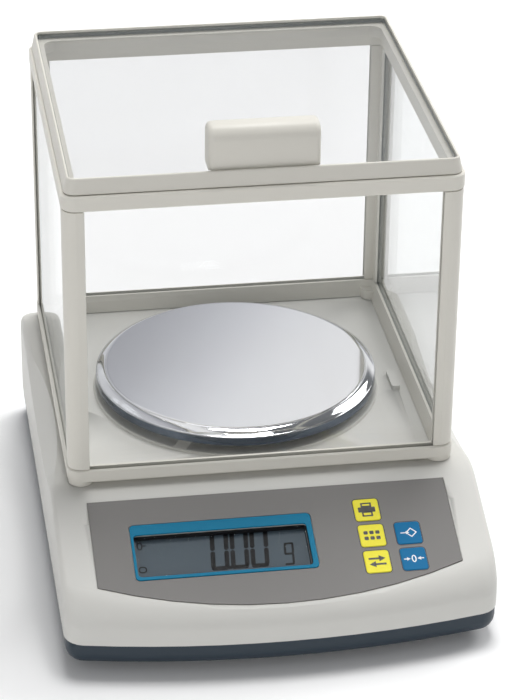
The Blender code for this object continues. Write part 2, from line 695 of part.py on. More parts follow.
def build_console(paints, shell):
    """Overlay, display, keys and their board, laid out on the slope."""
    crest = Vector((0.0, CONSOLE_Y, DECK_HEIGHT))
    down = Vector((0.0, -math.cos(CONSOLE_ANGLE), -math.sin(CONSOLE_ANGLE)))
    slope = pivot("console", crest + OVERLAY_START * down, (CONSOLE_ANGLE, 0.0, 0.0))
    deep = CONSOLE_BOARD_TOP
    combine(shell, prism(overlay_outline(GAP), -POCKET_DEPTH, OVERRUN), parent=slope)
    combine(shell, prism(window_outline(LENS_BORDER), deep, OVERRUN), parent=slope)
    overlay_bottom = GAP - POCKET_DEPTH
    overlay_top = overlay_bottom + OVERLAY_THICKNESS
    overlay = place(prism(overlay_outline(0.0), overlay_bottom, overlay_top), "keypad_overlay", paints["overlay"], slope)
    combine(overlay, prism(bezel_outline(GAP), -OVERRUN, OVERRUN), parent=slope)
    bezel_top = overlay_bottom + BEZEL_THICKNESS
    bezel = prism(bezel_outline(), overlay_bottom, bezel_top)
    bezel = place(bezel, "display_frame", paints["bezel"], slope)
    combine(bezel, prism(window_outline(), -OVERRUN, OVERRUN), parent=slope)
    lens_top = overlay_bottom - GAP
    lens = prism(window_outline(LENS_BORDER - GAP), lens_top - LENS_THICKNESS, lens_top)
    place(lens, "display_lens", paints["clear"], slope)
    build_display_module(paints, slope)
    board_top = CONSOLE_BOARD_TOP
    middle = (0.0, -CONSOLE_BOARD_START - CONSOLE_BOARD_HEIGHT / 2)
    board_outline = rectangle(CONSOLE_BOARD_WIDTH, CONSOLE_BOARD_HEIGHT, middle)
    board = place(prism(board_outline, board_top - BOARD_THICKNESS, board_top), "keypad_board", paints["board"], slope)
    for centre in corners(CONSOLE_BOARD_WIDTH, CONSOLE_BOARD_HEIGHT, middle):
        stem = stake(centre, -SLOPE_WALL / 2, board_top + GAP, BOARD_THICKNESS, -1)
        combine(shell, stem, "UNION", slope)
        bore = circle(STAKE_PIN + GAP, SMALL_SIDES, centre)
        combine(board, prism(bore, board_top - BOARD_THICKNESS - OVERRUN, board_top + OVERRUN), parent=slope)
    flange_top = -SLOPE_WALL - GAP
    flange_bottom = flange_top - KEY_FLANGE_THICKNESS
    key_top = overlay_top + KEY_PROUD
    for name, column, row in KEY_PLACES:
        centre = key_centre(column, row)
        paint = paints["key_yellow"] if column == 0 else paints["key_blue"]
        key = prism(key_outline(KEY_FLANGE), flange_bottom, flange_top)
        key = place(key, name, paint, slope, (*centre, 0.0))
        levels = [(key_outline(), flange_top - OVERRUN / 4), (key_outline(), key_top - GAP), (key_outline(-GAP), key_top)]
        combine(key, stack(levels), "UNION", slope, (*centre, 0.0))
        opening = key_outline(GAP, centre)
        combine(overlay, prism(opening, -OVERRUN, OVERRUN), parent=slope)
        combine(shell, prism(opening, -OVERRUN - HOUSING_WALL, OVERRUN), parent=slope)
        button = circle(SWITCH_RADIUS, SMALL_SIDES, centre)
        button_top = flange_bottom - KEY_TRAVEL - GAP
        combine(board, prism(button, board_top - BOARD_THICKNESS / 2, button_top), "UNION", slope)


def build_display_module(paints, slope):
    """Liquid-crystal glass on its wider backing frame, under the window."""
    glass_top = -SLOPE_WALL - GAP
    seam = glass_top - LCD_GLASS
    levels = [(window_outline(LCD_MARGIN + LCD_FRAME_MARGIN), seam - LCD_FRAME),
              (window_outline(LCD_MARGIN + LCD_FRAME_MARGIN), seam),
              (window_outline(LCD_MARGIN), seam),
              (window_outline(LCD_MARGIN), glass_top)]
    place(stack(levels), "display_module", paints["display"], slope)


def build_lower_housing(paints):
    """Base tray with a locating lip, bosses and stakes for what stands in it."""
    levels = []
    for step in range(ARC_STEPS + 1):
        angle = math.pi / 2 * step / ARC_STEPS
        inset = SEAM_INSET + BASE_EDGE * (1 - math.sin(angle))
        levels.append((plan_outline(inset), BASE_CLEARANCE + BASE_EDGE * (1 - math.cos(angle))))
    lip_outside = HOUSING_WALL + GAP
    lip_inside = lip_outside + LIP_THICKNESS
    levels += [(plan_outline(SEAM_INSET), SEAM_HEIGHT - GAP), (plan_outline(lip_outside), SEAM_HEIGHT - GAP),
               (plan_outline(lip_outside), SEAM_HEIGHT + LIP_HEIGHT), (plan_outline(lip_inside), SEAM_HEIGHT + LIP_HEIGHT),
               (plan_outline(lip_inside), FLOOR)]
    tray = place(stack(levels), "lower_housing", paints["base"])
    inside = FLOOR - HOUSING_WALL / 2
    for _, centre in foot_places():
        combine(tray, prism(circle(FOOT_BOSS, ROUND_SIDES, centre), inside, FLOOR + FOOT_BOSS_HEIGHT), "UNION")
        bore = circle(FOOT_STUD + GAP, ROUND_SIDES, centre)
        combine(tray, prism(bore, BASE_CLEARANCE - OVERRUN, FLOOR + FOOT_BOSS_HEIGHT + OVERRUN))
    for _, centre in screw_places():
        combine(tray, prism(circle(SCREW_BOSS, ROUND_SIDES, centre), inside, FLOOR + SCREW_BOSS_HEIGHT), "UNION")
        combine(tray, prism(circle(SCREW_RADIUS + GAP, SMALL_SIDES, centre), inside, FLOOR + SCREW_BOSS_HEIGHT + OVERRUN))
        recess = circle(SCREW_HEAD + GAP, SMALL_SIDES, centre)
        combine(tray, prism(recess, BASE_CLEARANCE - OVERRUN, BASE_CLEARANCE + SCREW_HEAD_HEIGHT + 2 * GAP))
    for centre in corners(PLATE_WIDTH, PLATE_LENGTH, (0.0, PAN_Y)):
        stem = ((0.0, inside), (STAKE_PIN, inside), (STAKE_PIN, PLATE_Z + PLATE_THICKNESS + GAP),
                (STAKE_HEAD, PLATE_Z + PLATE_THICKNESS + GAP),
                (STAKE_HEAD, PLATE_Z + PLATE_THICKNESS + GAP + STAKE_HEAD_THICKNESS),
                (0.0, PLATE_Z + PLATE_THICKNESS + GAP + STAKE_HEAD_THICKNESS))
        combine(tray, revolve(stem, SMALL_SIDES, centre), "UNION")
    board_seat = FLOOR + MAIN_BOARD_RISE
    for centre in corners(MAIN_BOARD_WIDTH, MAIN_BOARD_DEPTH, main_board_centre()):
        combine(tray, stake(centre, inside, board_seat, BOARD_THICKNESS), "UNION")
    for side in (-1, 1):
        for face in (-1, 1):
            shift = face * (BOARD_THICKNESS / 2 + GAP + RIB_THICKNESS / 2)
            centre = (side * (PORT_BOARD_WIDTH / 2 - RIB_DEPTH), port_board_y() + shift)
            rib = rectangle(2 * RIB_DEPTH, RIB_THICKNESS, centre)
            combine(tray, prism(rib, inside, port_board_bottom() + RIB_BITE), "UNION")
    return tray


def main_board_centre():
    """Plan place of the main board's middle."""
    return (0.0, FRONT_Y + MAIN_BOARD_FRONT_SHARE * CONSOLE_RUN + MAIN_BOARD_DEPTH / 2)


def port_board_y():
    """Middle of the rear connectors' board from front to rear."""
    return REAR_Y - HOUSING_WALL - GAP - JACK_DEPTH - GAP - BOARD_THICKNESS / 2


def port_board_bottom():
    """Lower edge of the rear connectors' board."""
    return PORT_HEIGHT - PORT_BOARD_HEIGHT / 2


def build_boards(paints):
    """Main board with its chips, and the upright board behind the rear connectors."""
    middle = main_board_centre()
    bottom = FLOOR + MAIN_BOARD_RISE + GAP
    top = bottom + BOARD_THICKNESS
    board = place(prism(rectangle(MAIN_BOARD_WIDTH, MAIN_BOARD_DEPTH, middle), bottom, top), "main_board", paints["board"])
    for centre in corners(MAIN_BOARD_WIDTH, MAIN_BOARD_DEPTH, middle):
        combine(board, prism(circle(STAKE_PIN + GAP, SMALL_SIDES, centre), bottom - OVERRUN, top + OVERRUN))
    for x, y, size, height in CHIPS:
        chip = rectangle(size, size, (middle[0] + x, middle[1] + y))
        combine(board, prism(chip, top - BOARD_THICKNESS / 2, top + height), "UNION")
    upright = rectangle(PORT_BOARD_WIDTH, BOARD_THICKNESS, (0.0, port_board_y()))
    low = port_board_bottom()
    place(prism(upright, low, low + PORT_BOARD_HEIGHT), "port_board", paints["board"])


def build_ports(paints, shell):
    """Power jack and serial connector, mounted from inside through the rear wall."""
    rear = pivot("rear_ports", (0.0, REAR_Y, PORT_HEIGHT), (-math.pi / 2, 0.0, 0.0))
    seat = -HOUSING_WALL - GAP
    back = seat - JACK_DEPTH
    jack_at = (JACK_OFFSET_SHARE * HOUSING_WIDTH, 0.0)
    body = rectangle(JACK_BODY, JACK_BODY, jack_at)
    nose = rounded_rectangle(JACK_FACE, JACK_FACE, RIB_THICKNESS, jack_at, EDGE_STEPS)
    jack = place(prism(body, back, seat), "power_jack", paints["black"], rear)
    combine(jack, prism(nose, seat - OVERRUN, PORT_PROUD), "UNION", rear)
    well = PORT_PROUD - JACK_BORE_DEPTH
    bore = revolve(((0.0, well), (JACK_BORE, well), (JACK_BORE, OVERRUN), (0.0, OVERRUN)), SMALL_SIDES, jack_at)
    combine(jack, bore, parent=rear)
    pin = ((0.0, well - RIB_THICKNESS), (JACK_PIN, well - RIB_THICKNESS), (JACK_PIN, -OVERRUN), (0.0, -OVERRUN / 2))
    combine(jack, revolve(pin, SMALL_SIDES, jack_at), "UNION", rear)
    opening = rounded_rectangle(JACK_FACE + 2 * GAP, JACK_FACE + 2 * GAP, RIB_THICKNESS, jack_at, EDGE_STEPS)
    combine(shell, prism(opening, seat - OVERRUN, OVERRUN), parent=rear)
    serial_at = (SERIAL_OFFSET_SHARE * HOUSING_WIDTH, 0.0)
    flange = rectangle(SERIAL_FLANGE, SERIAL_FLANGE_TALL, serial_at)
    serial = place(prism(flange, back, seat), "serial_connector", paints["connector"], rear)
    combine(serial, prism(serial_outline(0.0, serial_at), seat - OVERRUN, PORT_PROUD), "UNION", rear)
    pocket = serial_outline(-SERIAL_WALL, serial_at)
    combine(serial, prism(pocket, PORT_PROUD - SERIAL_POCKET, OVERRUN), parent=rear)
    combine(shell, prism(serial_outline(GAP, serial_at), seat - OVERRUN, OVERRUN), parent=rear)


def serial_outline(grow, centre):
    """Tapered outline of the serial connector's shell."""
    wide, narrow = SERIAL_WIDTH / 2 + grow, SERIAL_WIDTH / 2 - SERIAL_TAPER + grow
    tall = SERIAL_TALL / 2 + grow
    points = ((-narrow, -tall), (narrow, -tall), (wide, tall), (-wide, tall))
    return [Vector((centre[0] + x, centre[1] + y)) for x, y in points]


def build_load_cell(paints):
    """Mounting plate, spacer, double-bored beam, bridge and their screws."""
    middle = (0.0, PAN_Y)
    plate = rounded_rectangle(PLATE_WIDTH, PLATE_LENGTH, PLATE_CORNER, middle, EDGE_STEPS)
    plate = place(prism(plate, PLATE_Z, PLATE_Z + PLATE_THICKNESS), "cell_plate", paints["steel"])
    for centre in corners(PLATE_WIDTH, PLATE_LENGTH, middle):
        hole = circle(STAKE_PIN + GAP, SMALL_SIDES, centre)
        combine(plate, prism(hole, PLATE_Z - OVERRUN, PLATE_Z + PLATE_THICKNESS + OVERRUN))
    fixed_end = (0.0, PAN_Y - CELL_LENGTH / 2 + CELL_END / 2)
    free_end = (0.0, PAN_Y + CELL_LENGTH / 2 - CELL_END / 2)
    spacer = rectangle(CELL_WIDTH, CELL_END, fixed_end)
    spacer = place(prism(spacer, SPACER_Z, SPACER_Z + SPACER_THICKNESS), "cell_spacer", paints["steel"])
    beam = place(prism(rectangle(CELL_WIDTH, CELL_LENGTH, middle), CELL_Z, CELL_TOP), "load_cell", paints["aluminium"])
    half_wide = CELL_WIDTH / 2 + OVERRUN
    centre_z = CELL_Z + CELL_HEIGHT / 2
    for side in (-1, 1):
        bore = circle(CELL_BORE, ROUND_SIDES, (PAN_Y + side * CELL_BORE_SPACING / 2, centre_z))
        combine(beam, across(bore, -half_wide, half_wide))
    slot = rectangle(CELL_BORE_SPACING, CELL_SLOT, (PAN_Y, centre_z))
    combine(beam, across(slot, -half_wide, half_wide))
    nose = PAN_Y - BRIDGE_NOSE
    rear_end = PAN_Y + CELL_LENGTH / 2
    deck = BRIDGE_Z + BRIDGE_FOOT
    outline = ((nose, deck), (rear_end - CELL_END, deck), (rear_end - CELL_END, BRIDGE_Z), (rear_end, BRIDGE_Z),
               (rear_end, BRIDGE_TOP), (nose, BRIDGE_TOP))
    link = place(across(outline, -CELL_WIDTH / 2, CELL_WIDTH / 2), "cell_bridge", paints["aluminium"])
    combine(link, prism(circle(SPIGOT_RADIUS + GAP, ROUND_SIDES, middle), deck - OVERRUN, BRIDGE_TOP + OVERRUN))
    hole = CELL_SCREW + GAP
    for end, seat, name, parts in ((fixed_end, CELL_TOP, "fixed", (beam, spacer, plate)),
                                   (free_end, BRIDGE_TOP, "free", (beam, link))):
        length = seat - PLATE_Z - GAP if name == "fixed" else BRIDGE_TOP - BRIDGE_Z + CELL_GAP + CELL_SCREW_BITE
        for side in (-1, 1):
            centre = (0.0, end[1] + side * CELL_SCREW_PITCH / 2)
            bolt = screw(CELL_SCREW, CELL_SCREW_HEAD, CELL_SCREW_HEAD_HEIGHT, length + GAP, HEX_SOCKET)
            top = seat + GAP + CELL_SCREW_HEAD_HEIGHT
            place(bolt, f"cell_screw_{name}_{'rear' if side > 0 else 'front'}", paints["screw"], None, (*centre, top))
            bore = circle(hole, SMALL_SIDES, centre)
            lowest = PLATE_Z - OVERRUN if name == "fixed" else CELL_TOP - CELL_SCREW_BITE - OVERRUN
            for part in parts:
                combine(part, prism(bore, lowest, seat + OVERRUN))


def build_pan(paints):
    """Carrier cross on the bridge, its rubber pads, and the round pan."""
    middle = (0.0, PAN_Y)
    bottom = CARRIER_TOP - CARRIER_THICKNESS
    stem = ((0.0, BRIDGE_TOP + GAP - SPIGOT_LENGTH), (SPIGOT_RADIUS, BRIDGE_TOP + GAP - SPIGOT_LENGTH),
            (SPIGOT_RADIUS, BRIDGE_TOP + GAP), (STEM_RADIUS, BRIDGE_TOP + GAP), (STEM_RADIUS, bottom - CARRIER_HUB_DEPTH),
            (CARRIER_HUB, bottom - CARRIER_HUB_DEPTH), (CARRIER_HUB, CARRIER_TOP), (0.0, CARRIER_TOP))
    at = (*middle, 0.0)
    carrier = place(revolve(stem, ROUND_SIDES), "pan_carrier", paints["aluminium"], None, at)
    for turn in range(2):
        size = (2 * CARRIER_ARM, CARRIER_ARM_WIDTH) if turn == 0 else (CARRIER_ARM_WIDTH, 2 * CARRIER_ARM)
        arm = rounded_rectangle(*size, CARRIER_ARM_WIDTH / 2 - GAP, (0.0, 0.0))
        combine(carrier, prism(arm, bottom, CARRIER_TOP), "UNION", None, at)
    for index, (x, y) in enumerate(((1, 0), (0, 1), (-1, 0), (0, -1))):
        pad = prism(circle(PAD_RADIUS, ROUND_SIDES), CARRIER_TOP + GAP, CARRIER_TOP + GAP + PAD_THICKNESS)
        place(pad, f"pan_pad_{index + 1}", paints["rubber"], None, (x * PAD_CIRCLE, PAN_Y + y * PAD_CIRCLE, 0.0))
    rim = PAN_TOP - PAN_STEP - PAN_CONE_DROP
    inside = PAN_RADIUS - PAN_SHEET
    profile = ((0.0, PAN_TOP), (PAN_DISC_RADIUS, PAN_TOP), (PAN_DISC_RADIUS + PAN_STEP, PAN_TOP - PAN_STEP),
               (PAN_RADIUS - PAN_EDGE, rim), (PAN_RADIUS, rim - PAN_EDGE), (PAN_RADIUS, PAN_TOP - PAN_SKIRT),
               (inside, PAN_TOP - PAN_SKIRT), (inside, rim - PAN_SHEET), (PAN_DISC_RADIUS - PAN_SHEET, PAN_TOP - PAN_SHEET),
               (0.0, PAN_TOP - PAN_SHEET))
    place(revolve(profile, PAN_SIDES), "weighing_pan", paints["pan"], None, at)


def build_feet(paints):
    """Levelling feet: a rubber pad under a ribbed wheel with its stud."""
    for name, centre in foot_places():
        at = (*centre, 0.0)
        edge = FOOT_RIB_DEPTH
        levels = [(circle(FOOT_PAD - edge, ROUND_SIDES), 0.0), (circle(FOOT_PAD, ROUND_SIDES), edge),
                  (circle(FOOT_PAD, ROUND_SIDES), FOOT_PAD_HEIGHT)]
        place(stack(levels), f"foot_pad_{name}", paints["rubber"], None, at)
        ribbed = []
        for index, point in enumerate(circle(FOOT_WHEEL, 2 * FOOT_WHEEL_RIBS)):
            ribbed.append(point if index % 2 else point * (1 - FOOT_RIB_DEPTH / FOOT_WHEEL))
        wheel_bottom = FOOT_PAD_HEIGHT + GAP
        wheel_top = BASE_CLEARANCE - GAP
        wheel = place(prism(ribbed, wheel_bottom, wheel_top), f"foot_screw_{name}", paints["black"], None, at)
        stud = circle(FOOT_STUD, ROUND_SIDES)
        combine(wheel, prism(stud, wheel_top - FOOT_RIB_DEPTH, wheel_top + FOOT_STUD_HEIGHT), "UNION", None, at)


def build_housing_screws(paints):
    """Screws that hold the two housing halves together, their heads up in the base."""
    for name, centre in screw_places():
        length = SCREW_BOSS_HEIGHT + SCREW_BITE + FLOOR - BASE_CLEARANCE - SCREW_HEAD_HEIGHT - GAP
        bolt = screw(SCREW_RADIUS, SCREW_HEAD, SCREW_HEAD_HEIGHT, length, HEX_SOCKET / 2)
        bmesh.ops.rotate(bolt, verts=bolt.verts, cent=(0.0, 0.0, 0.0), matrix=Matrix.Rotation(math.pi, 3, "X"))
        place(bolt, f"housing_screw_{name}", paints["screw"], None, (*centre, BASE_CLEARANCE + GAP))


def build_shield(paints):
    """Draft shield: lower ring, four posts, four panes and upper ring."""
    lip = GLASS_INSET - GAP
    inner = GLASS_INSET + GLASS_THICKNESS + GAP
    skirt_top = RING_BOTTOM + RING_SKIRT
    spread = FRAME_THICKNESS + RING_SPREAD
    levels = [(shield_outline(0.0), skirt_top), (shield_outline(0.0), RING_TOP - RING_EDGE),
              (shield_outline(RING_EDGE), RING_TOP), (shield_outline(lip), RING_TOP),
              (shield_outline(lip), RING_TOP - GLASS_SEAT), (shield_outline(inner), RING_TOP - GLASS_SEAT),
              (shield_outline(inner), RING_TOP), (shield_outline(FRAME_THICKNESS), RING_TOP),
              (shield_outline(spread), RING_BOTTOM), (shield_outline(RING_SKIRT_INSET), RING_BOTTOM),
              (shield_outline(RING_SKIRT_INSET), skirt_top)]
    ring = place(frame(levels), "shield_bottom_ring", paints["frame"])
    half_x, half_y = SHIELD_WIDTH / 2 - SHIELD_CORNER, SHIELD_DEPTH / 2 - SHIELD_CORNER
    for side_x in (-1, 1):
        for side_y in (-1, 1):
            block = circle(FOOT_BLOCK, ROUND_SIDES, (side_x * half_x, SHIELD_Y + side_y * half_y))
            combine(ring, prism(block, RING_BOTTOM, RING_TOP - GLASS_SEAT - RING_EDGE), "UNION")
    for name, side_x, side_y in (("front_left", -1, -1), ("front_right", 1, -1), ("rear_left", -1, 1), ("rear_right", 1, 1)):
        post = [Vector((side_x * (SHIELD_WIDTH / 2 - u), SHIELD_Y + side_y * (SHIELD_DEPTH / 2 - v))) for u, v in post_outline()]
        place(prism(post, RING_TOP + GAP, POST_TOP - GAP), f"shield_post_{name}", paints["frame"])
    low = RING_TOP - GLASS_SEAT + GAP
    high = POST_TOP + GLASS_SEAT - GAP
    reach = 2 * (POST_LEG - POST_LAP)
    offset = GLASS_INSET + GLASS_THICKNESS / 2
    for name, side in (("front", -1), ("rear", 1)):
        pane = rectangle(SHIELD_WIDTH - reach, GLASS_THICKNESS, (0.0, SHIELD_Y + side * (SHIELD_DEPTH / 2 - offset)))
        place(prism(pane, low, high), f"shield_glass_{name}", paints["glass"])
    for name, side in (("left", -1), ("right", 1)):
        pane = rectangle(GLASS_THICKNESS, SHIELD_DEPTH - reach, (side * (SHIELD_WIDTH / 2 - offset), SHIELD_Y))
        place(prism(pane, low, high), f"shield_glass_{name}", paints["glass"])
    levels = [(shield_outline(RING_EDGE), POST_TOP), (shield_outline(0.0), POST_TOP + RING_EDGE),
              (shield_outline(0.0), TOP_RING_TOP - RING_EDGE), (shield_outline(RING_EDGE), TOP_RING_TOP),
              (shield_outline(FRAME_THICKNESS), TOP_RING_TOP), (shield_outline(FRAME_THICKNESS), POST_TOP),
              (shield_outline(inner), POST_TOP), (shield_outline(inner), POST_TOP + GLASS_SEAT),
              (shield_outline(lip), POST_TOP + GLASS_SEAT), (shield_outline(lip), POST_TOP)]
    place(frame(levels), "shield_top_ring", paints["frame"])


def post_outline():
    """Corner post seen from above, measured in from the shield's corner: an angle with a slot in each leg."""
    lip = GLASS_INSET - GAP
    inner = GLASS_INSET + GLASS_THICKNESS + GAP
    deep = POST_LEG - POST_SLOT
    points = [(POST_INSET, POST_LEG)]
    radius = SHIELD_CORNER - POST_INSET
    for step in range(ARC_STEPS + 1):
        angle = math.pi / 2 * step / ARC_STEPS
        points.append((SHIELD_CORNER - radius * math.cos(angle), SHIELD_CORNER - radius * math.sin(angle)))
    points += [(POST_LEG, POST_INSET), (POST_LEG, lip), (deep, lip), (deep, inner), (POST_LEG, inner),
               (POST_LEG, FRAME_THICKNESS), (FRAME_THICKNESS, FRAME_THICKNESS), (FRAME_THICKNESS, POST_LEG),
               (inner, POST_LEG), (inner, deep), (lip, deep), (lip, POST_LEG)]
    return points


def build_lid(paints):
    """Lid: frame with a locating rib, its glass and the handle block."""
    ledge = LID_GLASS_TOP - GLASS_THICKNESS - GAP
    rib = FRAME_THICKNESS + RIB_CLEARANCE
    top = LID_INSET + LID_TAPER
    rib_corner = LID_OPENING_CORNER + LID_OPENING - rib
    levels = [(shield_outline(LID_INSET), LID_BOTTOM), (shield_outline(LID_INSET), LID_BOTTOM + RING_EDGE),
              (shield_outline(top), LID_TOP - LID_EDGE), (shield_outline(top + LID_EDGE), LID_TOP),
              (shield_outline(LID_RIM), LID_TOP), (shield_outline(LID_RIM), ledge),
              (shield_outline(LID_OPENING, LID_OPENING_CORNER), ledge),
              (shield_outline(LID_OPENING, LID_OPENING_CORNER), LID_BOTTOM - LID_RIB_DROP),
              (shield_outline(rib, rib_corner), LID_BOTTOM - LID_RIB_DROP),
              (shield_outline(rib, rib_corner), LID_BOTTOM)]
    place(frame(levels), "lid_frame", paints["frame"])
    place(prism(shield_outline(LID_RIM + GAP), ledge + GAP, LID_GLASS_TOP), "lid_glass", paints["glass"])
    place(handle_form(), "lid_handle", paints["frame"])


def handle_section(inset):
    """Side outline of the handle block, its top rounded front and rear, drawn in by an inset."""
    bottom = LID_GLASS_TOP + GAP
    front = SHIELD_FRONT_Y + HANDLE_SETBACK + inset
    rear = SHIELD_FRONT_Y + HANDLE_SETBACK + HANDLE_DEPTH - inset
    radius = HANDLE_CROWN - inset
    middle = bottom + HANDLE_HEIGHT - HANDLE_CROWN
    points = [Vector((front, bottom)), Vector((rear, bottom))]
    for centre, start in ((rear - radius, 0), (front + radius, 1)):
        for step in range(ARC_STEPS + 1):
            turn = math.pi / 2 * (start + step / ARC_STEPS)
            points.append(Vector((centre + radius * math.cos(turn), middle + radius * math.sin(turn))))
    return points


def handle_form():
    """Handle block with rounded ends, lying across the lid."""
    turns = [math.pi / 2 * step / EDGE_STEPS for step in range(EDGE_STEPS + 1)]
    ends = [(HANDLE_WIDTH / 2 - HANDLE_EDGE * (1 - math.sin(t)), HANDLE_EDGE * (1 - math.cos(t))) for t in turns]
    sections = [(-reach, inset) for reach, inset in reversed(ends)] + ends
    bm = bmesh.new()
    rings = []
    for x, inset in sections:
        rings.append([bm.verts.new((x, point.x, point.y)) for point in handle_section(inset)])
    for left, right in zip(rings, rings[1:]):
        bridge(bm, left, right)
    cap(bm, rings[0], rings[-1])
    return bm


def main():
    """Builds every piece of the balance."""
    clear_scene()
    paints = {
        "shell": material("shell_plastic", (0.80, 0.80, 0.77), 0.35),
        "base": material("base_plastic", (0.05, 0.08, 0.11), 0.45),
        "overlay": material("overlay_film", (0.25, 0.24, 0.23), 0.55),
        "bezel": material("display_frame_plastic", (0.01, 0.22, 0.38), 0.40),
        "clear": material("display_lens_plastic", (0.90, 0.92, 0.92), 0.05, 0.0, 0.25),
        "display": material("display_glass", (0.10, 0.12, 0.12), 0.20),
        "key_yellow": material("key_yellow_plastic", (0.85, 0.78, 0.03), 0.45),
        "key_blue": material("key_blue_plastic", (0.01, 0.15, 0.38), 0.45),
        "board": material("board_laminate", (0.02, 0.18, 0.06), 0.50),
        "black": material("black_plastic", (0.02, 0.02, 0.02), 0.50),
        "connector": material("connector_steel", (0.60, 0.60, 0.58), 0.35, 1.0),
        "steel": material("plated_steel", (0.55, 0.56, 0.57), 0.35, 1.0),
        "screw": material("screw_steel", (0.40, 0.41, 0.42), 0.30, 1.0),
        "aluminium": material("aluminium", (0.75, 0.76, 0.77), 0.40, 1.0),
        "pan": material("stainless_steel", (0.70, 0.71, 0.73), 0.30, 1.0),
        "rubber": material("rubber", (0.03, 0.03, 0.03), 0.80),
        "frame": material("frame_plastic", (0.78, 0.77, 0.73), 0.35),
        "glass": material("glass", (0.92, 0.95, 0.94), 0.03, 0.0, 0.20),
    }
    shell = build_upper_housing(paints)
    build_console(paints, shell)
    build_ports(paints, shell)
    build_lower_housing(paints)
    build_boards(paints)
    build_load_cell(paints)
    build_pan(paints)
    build_feet(paints)
    build_housing_screws(paints)
    build_shield(paints)
    build_lid(paints)


main()
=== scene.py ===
"""Dresses the laboratory balance and sets up its photograph-like view."""
from __future__ import annotations

import json
import logging
import math
from dataclasses import dataclass
from enum import Enum
from typing import Any

import bmesh
import bpy
from mathutils import Matrix, Vector

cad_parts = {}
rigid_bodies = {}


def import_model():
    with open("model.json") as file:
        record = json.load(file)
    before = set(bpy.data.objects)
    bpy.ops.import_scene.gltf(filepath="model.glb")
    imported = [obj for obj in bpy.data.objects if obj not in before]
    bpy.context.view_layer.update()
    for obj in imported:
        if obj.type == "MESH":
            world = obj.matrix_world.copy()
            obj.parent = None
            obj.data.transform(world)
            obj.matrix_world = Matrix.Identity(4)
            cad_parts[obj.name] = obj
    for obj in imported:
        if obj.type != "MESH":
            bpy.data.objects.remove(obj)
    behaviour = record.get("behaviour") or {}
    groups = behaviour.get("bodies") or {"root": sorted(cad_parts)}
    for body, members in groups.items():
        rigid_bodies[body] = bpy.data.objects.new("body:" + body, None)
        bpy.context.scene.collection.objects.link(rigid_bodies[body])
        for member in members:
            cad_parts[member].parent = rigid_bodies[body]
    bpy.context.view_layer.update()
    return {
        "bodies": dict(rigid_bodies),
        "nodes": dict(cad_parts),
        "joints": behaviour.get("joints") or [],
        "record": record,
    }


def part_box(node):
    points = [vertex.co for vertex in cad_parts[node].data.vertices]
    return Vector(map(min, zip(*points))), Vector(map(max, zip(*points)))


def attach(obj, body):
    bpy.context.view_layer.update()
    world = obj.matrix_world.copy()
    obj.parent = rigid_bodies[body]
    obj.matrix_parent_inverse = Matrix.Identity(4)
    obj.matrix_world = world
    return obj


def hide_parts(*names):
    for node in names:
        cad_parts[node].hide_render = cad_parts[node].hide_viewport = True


LOG = logging.getLogger("balance")
Colour = tuple[float, float, float]
Place = tuple[float, float, float]

# Sockets of a Mix node set to colours
MIX_FACTOR, MIX_FIRST, MIX_SECOND, MIX_RESULT = 0, 6, 7, 2

# Faces of a copied mesh are joined where they turn less than this, in degrees
FLAT_TURN = 0.6
MERGE_GAP = 0.000002
FACE_GAP = 0.00002

# Corners sharper than this stay crisp, in degrees, on round pieces and on flat ones
CRISP_ROUND, CRISP_FLAT = 32.0, 30.0


def linear(red: int, green: int, blue: int) -> Colour:
    """Gives a display colour, written 0 to 255, as linear light."""
    return tuple((c / 255 / 12.92) if c <= 10 else ((c / 255 + 0.055) / 1.055) ** 2.4 for c in (red, green, blue))


class Grain(Enum):
    """How a surface was rubbed, as the stretch of its pattern along each axis."""

    STRAIGHT = (1.0, 60.0, 1.0)
    FINE = (1.0, 1.0, 1.0)
    FLAT = (1.0, 1.0, 3.0)
    WIPED = (1.0, 0.08, 1.0)


class Term:
    """A shader socket that takes part in Python arithmetic."""

    def __init__(self, recipe: Recipe, socket: bpy.types.NodeSocket) -> None:
        """Wraps one output socket of a recipe's tree."""
        self.recipe = recipe
        self.socket = socket

    def _math(self, operation: str, first: Any, second: Any) -> Term:
        """Adds a Math node and returns its value."""
        return self.recipe.node("ShaderNodeMath", {"operation": operation}, {0: first, 1: second})

    def __add__(self, other: Any) -> Term:
        """Adds."""
        return self._math("ADD", self, other)

    def __sub__(self, other: Any) -> Term:
        """Subtracts."""
        return self._math("SUBTRACT", self, other)

    def __mul__(self, other: Any) -> Term:
        """Multiplies."""
        return self._math("MULTIPLY", self, other)

    def __truediv__(self, other: Any) -> Term:
        """Divides."""
        return self._math("DIVIDE", self, other)

    def __pow__(self, other: Any) -> Term:
        """Raises to a power."""
        return self._math("POWER", self, other)

    def limit(self) -> Term:
        """Keeps the value between 0 and 1."""
        return self.recipe.node("ShaderNodeClamp", {}, {"Value": self, "Min": 0.0, "Max": 1.0})

    def above(self, edge: float, blur: float) -> Term:
        """Goes from 0 to 1 as the value passes an edge."""
        return ((self - edge) / blur + 0.5).limit()

    def either(self, other: Any) -> Term:
        """Takes the larger value."""
        return self._math("MAXIMUM", self, other)


